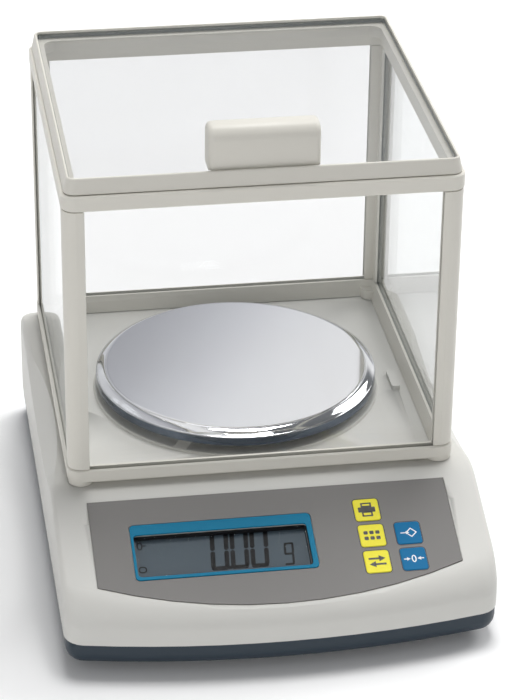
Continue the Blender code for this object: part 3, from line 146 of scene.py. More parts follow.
class Recipe:
    """A node material, or the world's nodes, under construction."""

    def __init__(self, name: str, world: bool = False) -> None:
        """Starts a material with one Principled shader, or an empty world."""
        self.material = bpy.data.worlds.new(name) if world else bpy.data.materials.new(name)
        self.material.use_nodes = True
        self.tree = self.material.node_tree
        if world:
            self.tree.nodes.clear()
        else:
            self.shader = self.tree.nodes["Principled BSDF"]

    def node(self, kind: str, settings: dict[str, Any], inputs: dict[Any, Any], output: Any = 0) -> Term:
        """Adds one node.

        Args:
            kind: The node's type.
            settings: Properties, or ramp stops under "stops", set before the inputs.
            inputs: Values or terms by socket name or number.
            output: Name or number of the socket that is returned.

        Returns:
            The chosen output as a term.
        """
        node = self.tree.nodes.new(kind)
        for key, value in settings.items():
            if key == "stops":
                self._fill_ramp(node.color_ramp, value)
            else:
                setattr(node, key, value)
        for key, value in inputs.items():
            self.feed(node.inputs[key], value)
        return Term(self, node.outputs[output])

    @staticmethod
    def _fill_ramp(ramp: bpy.types.ColorRamp, stops: list[tuple[float, Colour]]) -> None:
        """Writes a ramp's stops."""
        while len(ramp.elements) < len(stops):
            ramp.elements.new(0.5)
        for element, (place, colour) in zip(ramp.elements, stops):
            element.position = place
            element.color = (*colour, 1.0)

    def feed(self, socket: bpy.types.NodeSocket, value: Any) -> None:
        """Links a term to a socket, or sets a plain value on it."""
        if isinstance(value, Term):
            self.tree.links.new(value.socket, socket)
        elif isinstance(value, tuple) and len(value) == 3 and socket.type == "RGBA":
            socket.default_value = (*value, 1.0)
        else:
            socket.default_value = value

    def set(self, **inputs: Any) -> None:
        """Feeds the Principled shader's sockets, with underscores for spaces."""
        for key, value in inputs.items():
            self.feed(self.shader.inputs[key.replace("_", " ")], value)

    def place(self) -> Term:
        """Gives the piece's own coordinates, in metres."""
        return self.node("ShaderNodeTexCoord", {}, {}, "Object")

    def height(self) -> Term:
        """Gives the height above the ground, in metres."""
        return self.node("ShaderNodeSeparateXYZ", {}, {"Vector": self.place()}, "Z")

    def stretched(self, scale: Place) -> Term:
        """Gives the piece's coordinates scaled along each axis."""
        return self.node("ShaderNodeMapping", {}, {"Vector": self.place(), "Scale": scale})

    def noise(self, scale: float, detail: float, vector: Term | None = None) -> Term:
        """Gives a noise value around one half."""
        inputs = {"Vector": vector or self.place(), "Scale": scale, "Detail": detail}
        return self.node("ShaderNodeTexNoise", {}, inputs, "Fac")

    def mix(self, factor: Any, first: Any, second: Any) -> Term:
        """Mixes two colours."""
        return self.node("ShaderNodeMix", {"data_type": "RGBA"},
                         {MIX_FACTOR: factor, MIX_FIRST: first, MIX_SECOND: second}, MIX_RESULT)

    def bump(self, height: Term, distance: float) -> Term:
        """Turns a height between 0 and 1 into a normal."""
        return self.node("ShaderNodeBump", {}, {"Height": height, "Distance": distance, "Strength": 1.0}, "Normal")


@dataclass(frozen=True)
class MouldedPlastic:
    """Injection-moulded plastic with a faint spark-eroded grain."""

    name: str
    colour: Colour
    roughness: float = 0.35
    grain: float = 900.0
    relief: float = 0.00001
    mottle: float = 0.03
    shine: float = 0.5
    cloud_scale: float = 22.0
    grain_swing: float = 0.12
    cloud_swing: float = 0.06

    def make(self) -> bpy.types.Material:
        """Builds the material."""
        recipe = Recipe(self.name)
        cloud = recipe.noise(self.cloud_scale, 3.0)
        fine = recipe.noise(self.grain, 2.0)
        darker = tuple(c * (1 - self.mottle) for c in self.colour)
        lighter = tuple(min(1.0, c * (1 + self.mottle)) for c in self.colour)
        recipe.set(
            Base_Color=recipe.mix(cloud, darker, lighter),
            Roughness=(fine - 0.5) * self.grain_swing + (cloud - 0.5) * self.cloud_swing + self.roughness,
            Specular_IOR_Level=self.shine,
            Normal=recipe.bump(fine, self.relief),
        )
        return recipe.material


@dataclass(frozen=True)
class BrushedMetal:
    """Metal rubbed in one direction, or evenly blasted."""

    name: str
    colour: Colour
    roughness: float
    grain: Grain = Grain.FINE
    relief: float = 0.000004
    line_scale: float = 160.0
    line_shade: float = 0.93
    line_swing: float = 0.16
    cloud_scale: float = 14.0
    cloud_swing: float = 0.05

    def make(self) -> bpy.types.Material:
        """Builds the material."""
        recipe = Recipe(self.name)
        lines = recipe.noise(self.line_scale, 4.0, recipe.stretched(self.grain.value))
        cloud = recipe.noise(self.cloud_scale, 2.0)
        darker = tuple(c * self.line_shade for c in self.colour)
        recipe.set(
            Base_Color=recipe.mix(lines, darker, self.colour),
            Metallic=1.0,
            Roughness=(lines - 0.5) * self.line_swing + (cloud - 0.5) * self.cloud_swing + self.roughness,
            Normal=recipe.bump(lines, self.relief),
        )
        return recipe.material


@dataclass(frozen=True)
class Glazing:
    """Clear sheet that lets light through and mirrors at a glancing angle."""

    name: str
    tint: Colour
    veil: float
    mirror: float = 0.9
    smear: float = 0.012
    shade: Colour = linear(120, 126, 126)
    smear_scale: float = 18.0
    smear_blur: float = 0.03
    blur: float = 0.005
    glance_power: float = 5.0
    tint_gain: float = 6.0
    tint_start: float = 0.05

    def make(self) -> bpy.types.Material:
        """Builds the material."""
        recipe = Recipe(self.name)
        smear = recipe.noise(self.smear_scale, 3.0)
        glance = recipe.node("ShaderNodeLayerWeight", {}, {"Blend": 0.5}, "Facing") ** self.glance_power
        recipe.set(
            Base_Color=recipe.mix((glance * self.tint_gain + self.tint_start).limit(), self.shade, self.tint),
            Metallic=1.0,
            Roughness=smear * self.smear_blur + self.blur,
            Alpha=(glance * self.mirror + smear * self.smear + self.veil).limit(),
        )
        return recipe.material


@dataclass(frozen=True)
class PolishedSteel:
    """Mirror-polished pan, with painted shade on its skirt below the rim, broken by lighter patches of painted
    reflection.
    """

    name: str
    colour: Colour
    # Painted shade: the skirt's dark colour stands in for the shade and dark surroundings that it reflects.
    dark: Colour
    rim_height: float
    edge_blur: float = 0.0006
    # Lighter patches on the skirt are painted reflections.
    patch_scale: float = 34.0
    patch_contrast: float = 2.2
    patch_start: float = 0.75
    painted_reflection_gain: float = 3.2
    wipe_scale: float = 420.0
    wipe_swing: float = 0.05
    roughness: float = 0.045
    relief: float = 0.0000006

    def make(self) -> bpy.types.Material:
        """Builds the material."""
        recipe = Recipe(self.name)
        # Painted reflection: lighter patches laid over the skirt's painted shade.
        painted_reflection_patches = recipe.noise(self.patch_scale, 2.0, recipe.stretched(Grain.FLAT.value))
        wipe = recipe.noise(self.wipe_scale, 3.0, recipe.stretched(Grain.WIPED.value))
        painted_reflection_cover = (painted_reflection_patches * self.patch_contrast - self.patch_start).limit()
        skirt = recipe.mix(painted_reflection_cover, self.dark, tuple(c * self.painted_reflection_gain for c in self.dark))
        # Below the rim height the pan takes the painted-shade skirt colour in place of its own.
        upper = recipe.height().above(self.rim_height, self.edge_blur)
        recipe.set(
            Base_Color=recipe.mix(upper, skirt, self.colour),
            Metallic=1.0,
            Roughness=wipe * self.wipe_swing + self.roughness,
            Normal=recipe.bump(wipe, self.relief),
        )
        return recipe.material


@dataclass(frozen=True)
class SawnEdge:
    """Ground edge of a pane, greyer and cloudier than its faces."""

    name: str
    colour: Colour
    body: float = 0.62
    body_swing: float = 0.15
    scale: float = 1200.0
    shade: float = 0.7
    roughness: float = 0.25
    swing: float = 0.2

    def make(self) -> bpy.types.Material:
        """Builds the material."""
        recipe = Recipe(self.name)
        grind = recipe.noise(self.scale, 2.0)
        recipe.set(
            Base_Color=recipe.mix(grind, self.colour, tuple(c * self.shade for c in self.colour)),
            Roughness=grind * self.swing + self.roughness,
            Alpha=grind * self.body_swing + self.body,
        )
        return recipe.material


@dataclass(frozen=True)
class Rubber:
    """Matt black rubber."""

    name: str
    colour: Colour
    grain: float = 700.0
    dust_scale: float = 60.0
    dust_gain: float = 1.6
    roughness: float = 0.65
    swing: float = 0.2
    relief: float = 0.00003

    def make(self) -> bpy.types.Material:
        """Builds the material."""
        recipe = Recipe(self.name)
        fine = recipe.noise(self.grain, 3.0)
        dust = recipe.noise(self.dust_scale, 4.0)
        recipe.set(
            Base_Color=recipe.mix(dust, self.colour, tuple(c * self.dust_gain for c in self.colour)),
            Roughness=fine * self.swing + self.roughness,
            Normal=recipe.bump(fine, self.relief),
        )
        return recipe.material


@dataclass(frozen=True)
class BoardLaminate:
    """Green circuit board with lighter tracks."""

    name: str
    colour: Colour
    chips_from: float
    chip_colour: Colour = linear(30, 30, 33)
    chip_blur: float = 0.00005
    cell_scale: float = 260.0
    track_contrast: float = 9.0
    track_start: float = 3.6
    track_gain: float = 2.2
    track_lift: float = 0.02
    roughness: float = 0.35
    swing: float = 0.1
    relief: float = 0.00003

    def make(self) -> bpy.types.Material:
        """Builds the material, with black chips above a height."""
        recipe = Recipe(self.name)
        cells = recipe.node("ShaderNodeTexVoronoi", {"distance": "MANHATTAN"},
                            {"Vector": recipe.place(), "Scale": self.cell_scale})
        track = (cells * self.track_contrast - self.track_start).limit()
        lighter = tuple(min(1.0, c * self.track_gain + self.track_lift) for c in self.colour)
        laminate = recipe.mix(track, self.colour, lighter)
        chip = recipe.height().above(self.chips_from, self.chip_blur)
        recipe.set(
            Base_Color=recipe.mix(chip, laminate, self.chip_colour),
            Roughness=track * self.swing + self.roughness,
            Normal=recipe.bump(track, self.relief),
        )
        return recipe.material


class Finishes:
    """Every finish on the balance, made once."""

    def __init__(self) -> None:
        """Makes the materials."""
        rim_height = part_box("weighing_pan")[1].z - Pan.cone_drop - Pan.round_off
        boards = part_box("main_board")[0].z + Electronics.laminate
        shell = MouldedPlastic("shell_abs", linear(216, 215, 210), 0.46, 900.0, 0.000002, 0.01, 0.25)
        frame = MouldedPlastic("frame_abs", linear(223, 220, 211), 0.42, 900.0, 0.000002, 0.01, 0.3)
        base = MouldedPlastic("slate_abs", linear(50, 61, 71), 0.40, 600.0, 0.00001, 0.03, 0.3)
        film = MouldedPlastic("grey_film", linear(134, 132, 130), 0.55, 1500.0, 0.000004, 0.01, 0.15)
        bezel = MouldedPlastic("cyan_frame", linear(1, 122, 160), 0.42, 1500.0, 0.000004, 0.01, 0.08)
        yellow = MouldedPlastic("yellow_key", linear(246, 235, 50), 0.42, 1500.0, 0.000004, 0.01, 0.2)
        blue = MouldedPlastic("blue_key", linear(1, 112, 164), 0.42, 1500.0, 0.000004, 0.01, 0.08)
        black = MouldedPlastic("black_nylon", linear(28, 28, 30), 0.45)
        cell = MouldedPlastic("display_glass", linear(76, 89, 98), 0.34, 300.0, 0.000001, 0.04, 0.08)
        # The pan's second colour is painted shade for its skirt below the rim.
        steel = PolishedSteel("polished_steel", linear(248, 248, 250), linear(58, 64, 74), rim_height)
        self.by_slot: dict[str, bpy.types.Material] = {
            "shell_plastic": shell.make(),
            "frame_plastic": frame.make(),
            "base_plastic": base.make(),
            "overlay_film": film.make(),
            "display_frame_plastic": bezel.make(),
            "key_yellow_plastic": yellow.make(),
            "key_blue_plastic": blue.make(),
            "black_plastic": black.make(),
            "display_glass": cell.make(),
            "display_lens_plastic": Glazing("lens_acrylic", linear(235, 238, 240), 0.0, 0.15, 0.002).make(),
            "glass": Glazing("shield_glass", linear(246, 249, 248), 0.06).make(),
            "board_laminate": BoardLaminate("board_green", linear(22, 92, 48), boards).make(),
            "rubber": Rubber("foot_rubber", linear(26, 26, 27)).make(),
            "connector_steel": BrushedMetal("plated_shell", linear(196, 196, 192), 0.30).make(),
            "plated_steel": BrushedMetal("zinc_plate", linear(176, 178, 182), 0.34).make(),
            "screw_steel": BrushedMetal("screw_zinc", linear(150, 152, 156), 0.30).make(),
            "aluminium": BrushedMetal("milled_aluminium", linear(205, 207, 210), 0.36, Grain.STRAIGHT).make(),
            "stainless_steel": steel.make(),
        }
        self.ink = MouldedPlastic("dark_ink", linear(20, 21, 23), 0.45, 1500.0, 0.000002, 0.02).make()
        self.segment = MouldedPlastic("lcd_segment", linear(8, 9, 11), 0.40, 1500.0, 0.000002, 0.02, 0.1).make()
        self.white_ink = MouldedPlastic("white_ink", linear(238, 242, 244), 0.45, 1500.0, 0.000002, 0.01).make()
        self.pane_edge = SawnEdge("pane_edge", linear(112, 120, 120)).make()
        self.brass = BrushedMetal("gilt_pin", linear(226, 192, 120), 0.25).make()


@dataclass(frozen=True)
class Panel:
    """A flat face of a piece: its middle, directions and size."""

    middle: Vector
    across: Vector
    up: Vector
    out: Vector
    width: float
    height: float

    def matrix(self, lift: float) -> Matrix:
        """Gives the place of marks drawn about the panel's middle.

        Args:
            lift: Distance above the face, in metres.

        Returns:
            The matrix from the drawing's plane to the frame.
        """
        turned = Matrix((self.across, self.up, self.out)).transposed().to_4x4()
        return Matrix.Translation(self.middle + self.out * lift) @ turned


class Bench:
    """Turns meshes into pieces that ride on the balance's bodies."""

    EDGE_STEPS = 2

    def __init__(self, frame: dict[str, Any], finishes: Finishes) -> None:
        """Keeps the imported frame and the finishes."""
        self.nodes = frame["nodes"]
        self.finishes = finishes
        self.slots = {entry["node"]: entry["material_slot"] for entry in frame["record"]["subparts"]}
        groups = frame["record"]["behaviour"]["bodies"]
        self.bodies = {node: body for body, members in groups.items() for node in members}
        press = next(joint for joint in frame["joints"] if joint["name"] == "key_top_press")
        self.slope_out = -Vector(press["axis"]).normalized()

    def merged(self, node: str) -> bmesh.types.BMesh:
        """Gives a merged copy of a CAD node's mesh.

        Args:
            node: The node's name.

        Returns:
            A bmesh with doubles merged and flat areas joined into single faces.
        """
        bm = bmesh.new()
        bm.from_mesh(self.nodes[node].data)
        bmesh.ops.remove_doubles(bm, verts=bm.verts, dist=MERGE_GAP)
        bmesh.ops.dissolve_limit(bm, angle_limit=math.radians(FLAT_TURN), verts=bm.verts, edges=bm.edges)
        return bm

    def panel(self, node: str, out: Vector) -> Panel:
        """Finds the face of a node that lies furthest along a direction.

        Args:
            node: The node's name.
            out: The face's outward direction.

        Returns:
            The face as a panel, with its first direction along X.
        """
        across = Vector((1.0, 0.0, 0.0))
        up = out.cross(across)
        points = [vert.co for vert in self.nodes[node].data.vertices]
        top = max(point.dot(out) for point in points)
        face = [point for point in points if point.dot(out) > top - FACE_GAP]
        spans = [[point.dot(axis) for point in face] for axis in (across, up)]
        low, high = Vector([min(span) for span in spans]), Vector([max(span) for span in spans])
        middle = across * (low.x + high.x) / 2 + up * (low.y + high.y) / 2 + out * top
        return Panel(middle, across, up, out, high.x - low.x, high.y - low.y)

    def piece(self, bm: bmesh.types.BMesh, name: str, slot: str, body: str, angle: float = CRISP_ROUND,
              edge: float = 0.0, finish: bpy.types.Material | None = None) -> bpy.types.Object:
        """Makes one finished piece.

        Args:
            bm: The mesh, which is used up.
            name: Name of the piece.
            slot: Material slot that it takes its finish from.
            body: Body that it rides on.
            angle: Corners sharper than this, in degrees, stay crisp.
            edge: Width of the round on its crisp corners, in metres.
            finish: Material in place of the slot's own.

        Returns:
            The new object.
        """
        mesh = bpy.data.meshes.new(name)
        bm.to_mesh(mesh)
        bm.free()
        mesh.shade_smooth()
        mesh.set_sharp_from_angle(angle=math.radians(angle))
        obj = bpy.data.objects.new(name, mesh)
        bpy.context.scene.collection.objects.link(obj)
        mesh.materials.append(finish or self.finishes.by_slot[slot])
        if edge:
            round_off = obj.modifiers.new("edge_round", "BEVEL")
            round_off.width = edge
            round_off.segments = self.EDGE_STEPS
            round_off.limit_method = "ANGLE"
            round_off.angle_limit = math.radians(angle)
            round_off.harden_normals = True
        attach(obj, body)
        LOG.info("piece %s rides on %s", name, body)
        return obj

    def dress(self, node: str, angle: float = CRISP_ROUND, edge: float = 0.0) -> bpy.types.Object:
        """Replaces a CAD node with a smooth, edge-rounded copy in its finish."""
        obj = self.piece(self.merged(node), f"{node}_dressed", self.slots[node], self.bodies[node], angle, edge)
        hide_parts(node)
        return obj

    def dress_all(self, names: list[str], angle: float = CRISP_ROUND, edge: float = 0.0) -> None:
        """Replaces several CAD nodes in the same way."""
        for node in names:
            self.dress(node, angle, edge)

    def family(self, start: str) -> list[str]:
        """Lists the nodes whose names begin alike."""
        return sorted(node for node in self.nodes if node.startswith(start))


class Marks:
    """Thin printed marks drawn about the middle of one panel."""

    HEAD_SHARE = 1.9
    STEM_SHARE = 1.2
    CORNER_STEPS = 4
    RING_SIDES = 32

    def __init__(self, panel: Panel, lift: float = 0.00001, thickness: float = 0.00003) -> None:
        """Starts an empty drawing."""
        self.panel = panel
        self.lift = lift
        self.thickness = thickness
        self.bm = bmesh.new()

    def bar(self, x: float, y: float, width: float, height: float, cut: float = 0.0, turn: float = 0.0,
            steps: int = 1) -> None:
        """Draws a bar.

        Args:
            x: Its middle, across.
            y: Its middle, up.
            width: Its length across before it is turned.
            height: Its length up before it is turned.
            cut: How far its corners are cut off or rounded.
            turn: Its turn in degrees, anticlockwise.
            steps: Straight steps in each corner.
        """
        verts = bmesh.ops.create_grid(self.bm, x_segments=1, y_segments=1, size=0.5)["verts"]
        bmesh.ops.scale(self.bm, verts=verts, vec=(width, height, 1.0))
        if cut:
            rounded = bmesh.ops.bevel(self.bm, geom=verts, offset=cut, segments=steps, profile=0.5,
                                      affect="VERTICES", material=-1, clamp_overlap=True)
            verts = list({vert for face in rounded["faces"] for vert in face.verts} | set(rounded["verts"]))
            verts = list({v for vert in verts for face in vert.link_faces for v in face.verts})
        self._set_down(verts, x, y, turn)

    def ring(self, x: float, y: float, half_x: float, half_y: float, stroke: float) -> None:
        """Draws an oval outline of an even stroke."""
        edges = []
        verts = []
        for inset in (0.0, stroke):
            loop = bmesh.ops.create_circle(self.bm, cap_ends=False, radius=1.0, segments=self.RING_SIDES)["verts"]
            bmesh.ops.scale(self.bm, verts=loop, vec=(half_x - inset, half_y - inset, 1.0))
            edges += list({edge for vert in loop for edge in vert.link_edges})
            verts += loop
        bmesh.ops.bridge_loops(self.bm, edges=edges)
        self._set_down(verts, x, y, 0.0)

    def outline(self, x: float, y: float, width: float, height: float, corner: float, stroke: float,
                turn: float = 0.0) -> None:
        """Draws a rounded rectangle's outline, its outer edge at the given size."""
        edges = []
        verts = []
        for inset in (0.0, stroke):
            start = set(self.bm.verts)
            cut = max(corner - inset, stroke / 4)
            self.bar(0.0, 0.0, width - 2 * inset, height - 2 * inset, cut, steps=self.CORNER_STEPS)
            loop = [vert for vert in self.bm.verts if vert not in start]
            faces = list({face for vert in loop for face in vert.link_faces})
            bmesh.ops.delete(self.bm, geom=faces, context="FACES_ONLY")
            edges += list({edge for vert in loop for edge in vert.link_edges})
            verts += loop
        bmesh.ops.bridge_loops(self.bm, edges=edges)
        self._set_down(verts, x, y, turn)

    def wedge(self, x: float, y: float, radius: float, turn: float) -> None:
        """Draws a filled triangle that points the way of its turn."""
        verts = bmesh.ops.create_circle(self.bm, cap_ends=True, radius=radius, segments=3)["verts"]
        self._set_down(verts, x, y, turn - 90.0)

    def arrow(self, x: float, y: float, length: float, stroke: float, turn: float) -> None:
        """Draws an arrow about its middle."""
        ahead = Vector((math.cos(math.radians(turn)), math.sin(math.radians(turn))))
        head = stroke * self.HEAD_SHARE
        stem = Vector((x, y)) - ahead * head * self.STEM_SHARE / 2
        tip = Vector((x, y)) + ahead * (length / 2 - head)
        self.bar(stem.x, stem.y, length - head * self.STEM_SHARE, stroke, 0.0, turn)
        self.wedge(tip.x, tip.y, head, turn)

    def _set_down(self, verts: list[bmesh.types.BMVert], x: float, y: float, turn: float) -> None:
        """Turns new marks and moves them to their place."""
        spin = Matrix.Rotation(math.radians(turn), 3, "Z")
        bmesh.ops.rotate(self.bm, verts=verts, cent=(0.0, 0.0, 0.0), matrix=spin)
        bmesh.ops.translate(self.bm, verts=verts, vec=(x, y, 0.0))

    def lean(self, amount: float) -> None:
        """Slants all that is drawn so far, as display digits lean."""
        slant = Matrix.Identity(4)
        slant[0][1] = amount
        bmesh.ops.transform(self.bm, verts=self.bm.verts, matrix=slant)

    def finish(self, bench: Bench, name: str, node: str, ink: bpy.types.Material) -> bpy.types.Object:
        """Thickens the drawing, puts it on its panel and rides it on the node's body."""
        faces = list(self.bm.faces)
        up = [face for face in faces if face.normal.z < 0]
        bmesh.ops.reverse_faces(self.bm, faces=up)
        raised = bmesh.ops.extrude_face_region(self.bm, geom=faces)["geom"]
        moved = [item for item in raised if isinstance(item, bmesh.types.BMVert)]
        bmesh.ops.translate(self.bm, verts=moved, vec=(0.0, 0.0, self.thickness))
        bmesh.ops.transform(self.bm, matrix=self.panel.matrix(self.lift), verts=self.bm.verts)
        bmesh.ops.recalc_face_normals(self.bm, faces=self.bm.faces)
        return bench.piece(self.bm, name, bench.slots[node], bench.bodies[node], CRISP_FLAT, finish=ink)


@dataclass
class Housing:
    """Upper and lower housing, their screws and the levelling feet."""

    bench: Bench
    thread_crisp: float = 12.0
    thread_edge: float = 0.0001

    def build(self) -> None:
        """Dresses the housing's pieces."""
        self.bench.dress_all(["upper_housing", "lower_housing"], CRISP_FLAT)
        self.bench.dress_all(self.bench.family("housing_screw_"))
        self.bench.dress_all(self.bench.family("foot_screw_"), self.thread_crisp, self.thread_edge)
        self.bench.dress_all(self.bench.family("foot_pad_"))


@dataclass
class Console:
    """Overlay, display frame and keys with their generic signs."""

    bench: Bench
    edge: float = 0.00025
    stroke: float = 0.0007
    border: float = 0.00035
    room: float = 0.0003
    border_corner: float = 0.0019
    corner: float = 0.0002
    arrow: float = 0.0005
    dot: float = 0.0017
    dot_corner: float = 0.0004
    swap_gain: float = 1.3
    diamond_stroke: float = 0.00045

    def build(self) -> None:
        """Dresses the console and draws its signs."""
        self.bench.dress("keypad_overlay", CRISP_FLAT)
        self.bench.dress_all(["display_frame", "display_lens", *self.bench.family("key_")],
                             CRISP_FLAT, self.edge)
        self._key_borders()
        signs = {
            "key_top": (self._printer, self.bench.finishes.ink),
            "key_middle": (self._pieces, self.bench.finishes.ink),
            "key_bottom": (self._swap, self.bench.finishes.ink),
            "key_tare": (self._tare, self.bench.finishes.white_ink),
            "key_zero": (self._zero, self.bench.finishes.white_ink),
        }
        for node, (draw, ink) in signs.items():
            marks = Marks(self.bench.panel(node, self.bench.slope_out))
            draw(marks)
            marks.finish(self.bench, f"{node}_sign", node, ink)

    def _key_borders(self) -> None:
        """Draws a thin dark line round each key on the overlay."""
        sheet = self.bench.panel("keypad_overlay", self.bench.slope_out)
        marks = Marks(sheet)
        for node in self.bench.family("key_"):
            key = self.bench.panel(node, self.bench.slope_out)
            offset = key.middle - sheet.middle
            grow = 2 * (self.room + self.border)
            marks.outline(offset.dot(sheet.across), offset.dot(sheet.up), key.width + grow, key.height + grow,
                          self.border_corner, self.border)
        marks.finish(self.bench, "key_borders", "keypad_overlay", self.bench.finishes.ink)

    def _printer(self, marks: Marks) -> None:
        """Draws a printer with its sheet of paper."""
        marks.bar(0.0, 0.0, 0.0070, 0.0026, self.dot_corner, steps=3)
        marks.outline(0.0, 0.0024, 0.0044, 0.0022, self.corner, self.stroke)
        marks.outline(0.0, -0.0022, 0.0044, 0.0026, self.corner, self.stroke)

    def _pieces(self, marks: Marks) -> None:
        """Draws a count of loose pieces."""
        for row in (-1, 1):
            for column in (-1, 0, 1):
                marks.bar(column * 0.0024, row * 0.0014, self.dot, self.dot, self.dot_corner, steps=3)

    def _swap(self, marks: Marks) -> None:
        """Draws two opposite arrows, for changing over."""
        marks.arrow(0.0, 0.0014, 0.0068, self.stroke * self.swap_gain, 0.0)
        marks.arrow(0.0, -0.0014, 0.0068, self.stroke * self.swap_gain, 180.0)

    def _tare(self, marks: Marks) -> None:
        """Draws an arrow into a diamond."""
        marks.outline(0.0011, 0.0, 0.0034, 0.0034, self.corner, self.diamond_stroke, 45.0)
        marks.arrow(-0.0014, 0.0, 0.0036, self.arrow, 0.0)

    def _zero(self, marks: Marks) -> None:
        """Draws a nought between two arrows that point at it."""
        marks.ring(0.0, 0.0, 0.0010, 0.0018, self.arrow)
        marks.arrow(-0.0027, 0.0, 0.0026, self.arrow, 0.0)
        marks.arrow(0.0027, 0.0, 0.0026, self.arrow, 180.0)


@dataclass
class Display:
    """Liquid crystal display under its lens, showing nought in grams."""

    bench: Bench
    digit_width: float = 0.0074
    digit_height: float = 0.0191
    digit_stroke: float = 0.00185
    pitch: float = 0.0080
    first_left: float = -0.00495
    middle_y: float = 0.00205
    unit_left: float = 0.0246
    unit_width: float = 0.0040
    unit_height: float = 0.0111
    unit_stroke: float = 0.0009
    slant: float = 0.085
    split: float = 0.0006
    # Size of the black lining that paints the shade between the display and its lens.
    shade_lining_wall: float = 0.00105
    shade_lining_depth: float = 0.0012
    shade_lining_corner: float = 0.0016
    lift: float = 0.00002
    thickness: float = 0.00006
    point_shift: float = 0.0004
    point_share: float = 0.8
    point_corner: float = 0.0002
    end_cut: float = 0.32
    level_reach: float = 0.7
    upright_reach: float = 0.12
    sign_x: float = -0.0325
    steady_y: float = 0.0072
    supply_y: float = -0.0046
    sign_stroke: float = 0.00055

    def build(self) -> None:
        """Dresses the module and draws what it shows."""
        self.bench.dress("display_module", CRISP_FLAT)
        panel = self.bench.panel("display_module", self.bench.slope_out)
        shown = Marks(panel, self.lift, self.thickness)
        for place in range(3):
            middle = self.first_left + self.digit_width / 2 + place * self.pitch
            self._digit(shown, middle, self.middle_y, self.digit_width, self.digit_height, self.digit_stroke, "abcdef")
        low = self.middle_y - self.digit_height / 2
        point = self.digit_stroke * self.point_share
        shown.bar(self.first_left + self.pitch - self.point_shift, low + self.digit_stroke / 2, point, point,
                  self.point_corner)
        self._digit(shown, self.unit_left + self.unit_width / 2, low + self.unit_height / 2, self.unit_width,
                    self.unit_height, self.unit_stroke, "abcdfg")
        shown.lean(self.slant)
        self._tell_tales(shown)
        shown.finish(self.bench, "display_segments", "display_module", self.bench.finishes.segment)
        # A black lining paints the shade between the display and its lens.
        self._line_with_painted_shade(panel)

    def _line_with_painted_shade(self, panel: Panel) -> None:
        """Lines the space between the display and its lens in black: a dark sleeve that paints the shade there."""
        lens = self.bench.panel("display_lens", self.bench.slope_out)
        offset = lens.middle - panel.middle
        shade_lining = Marks(panel, thickness=self.shade_lining_depth)
        shade_lining.outline(offset.dot(panel.across), offset.dot(panel.up), lens.width, lens.height, self.shade_lining_corner,
                     self.shade_lining_wall)
        shade_lining.finish(self.bench, "display_painted_shade_lining", "display_module", self.bench.finishes.ink)

    def _digit(self, marks: Marks, x: float, y: float, width: float, height: float, stroke: float, lit: str) -> None:
        """Draws one seven-segment digit.

        Args:
            marks: The drawing.
            x: Middle of the digit, across.
            y: Middle of the digit, up.
            width: Its outer width.
            height: Its outer height.
            stroke: Thickness of each segment.
            lit: Letters of the segments that are dark, a at the top and on clockwise, with g in the middle.
        """
        side, half = (width - stroke) / 2, (height - stroke) / 2
        cut = stroke * self.end_cut
        spots = {"a": (0, half), "g": (0, 0), "d": (0, -half)}
        upright = {"f": (-side, half / 2), "b": (side, half / 2), "e": (-side, -half / 2), "c": (side, -half / 2)}
        for letter in lit:
            if letter in spots:
                across, up = spots[letter]
                marks.bar(x + across, y + up, 2 * side + stroke * self.level_reach, stroke, cut)
            else:
                across, up = upright[letter]
                marks.bar(x + across, y + up, stroke, half - self.split + stroke * self.upright_reach, cut)

    def _tell_tales(self, marks: Marks) -> None:
        """Draws the small signs for a steady reading and for the supply."""
        marks.ring(self.sign_x, self.steady_y, 0.0012, 0.0020, self.sign_stroke)
        for side in (-1, 1):
            marks.bar(self.sign_x + side * 0.0019, self.steady_y, 0.0011, 0.0005)
        marks.outline(self.sign_x, self.supply_y, 0.0034, 0.0032, 0.0014, self.sign_stroke)


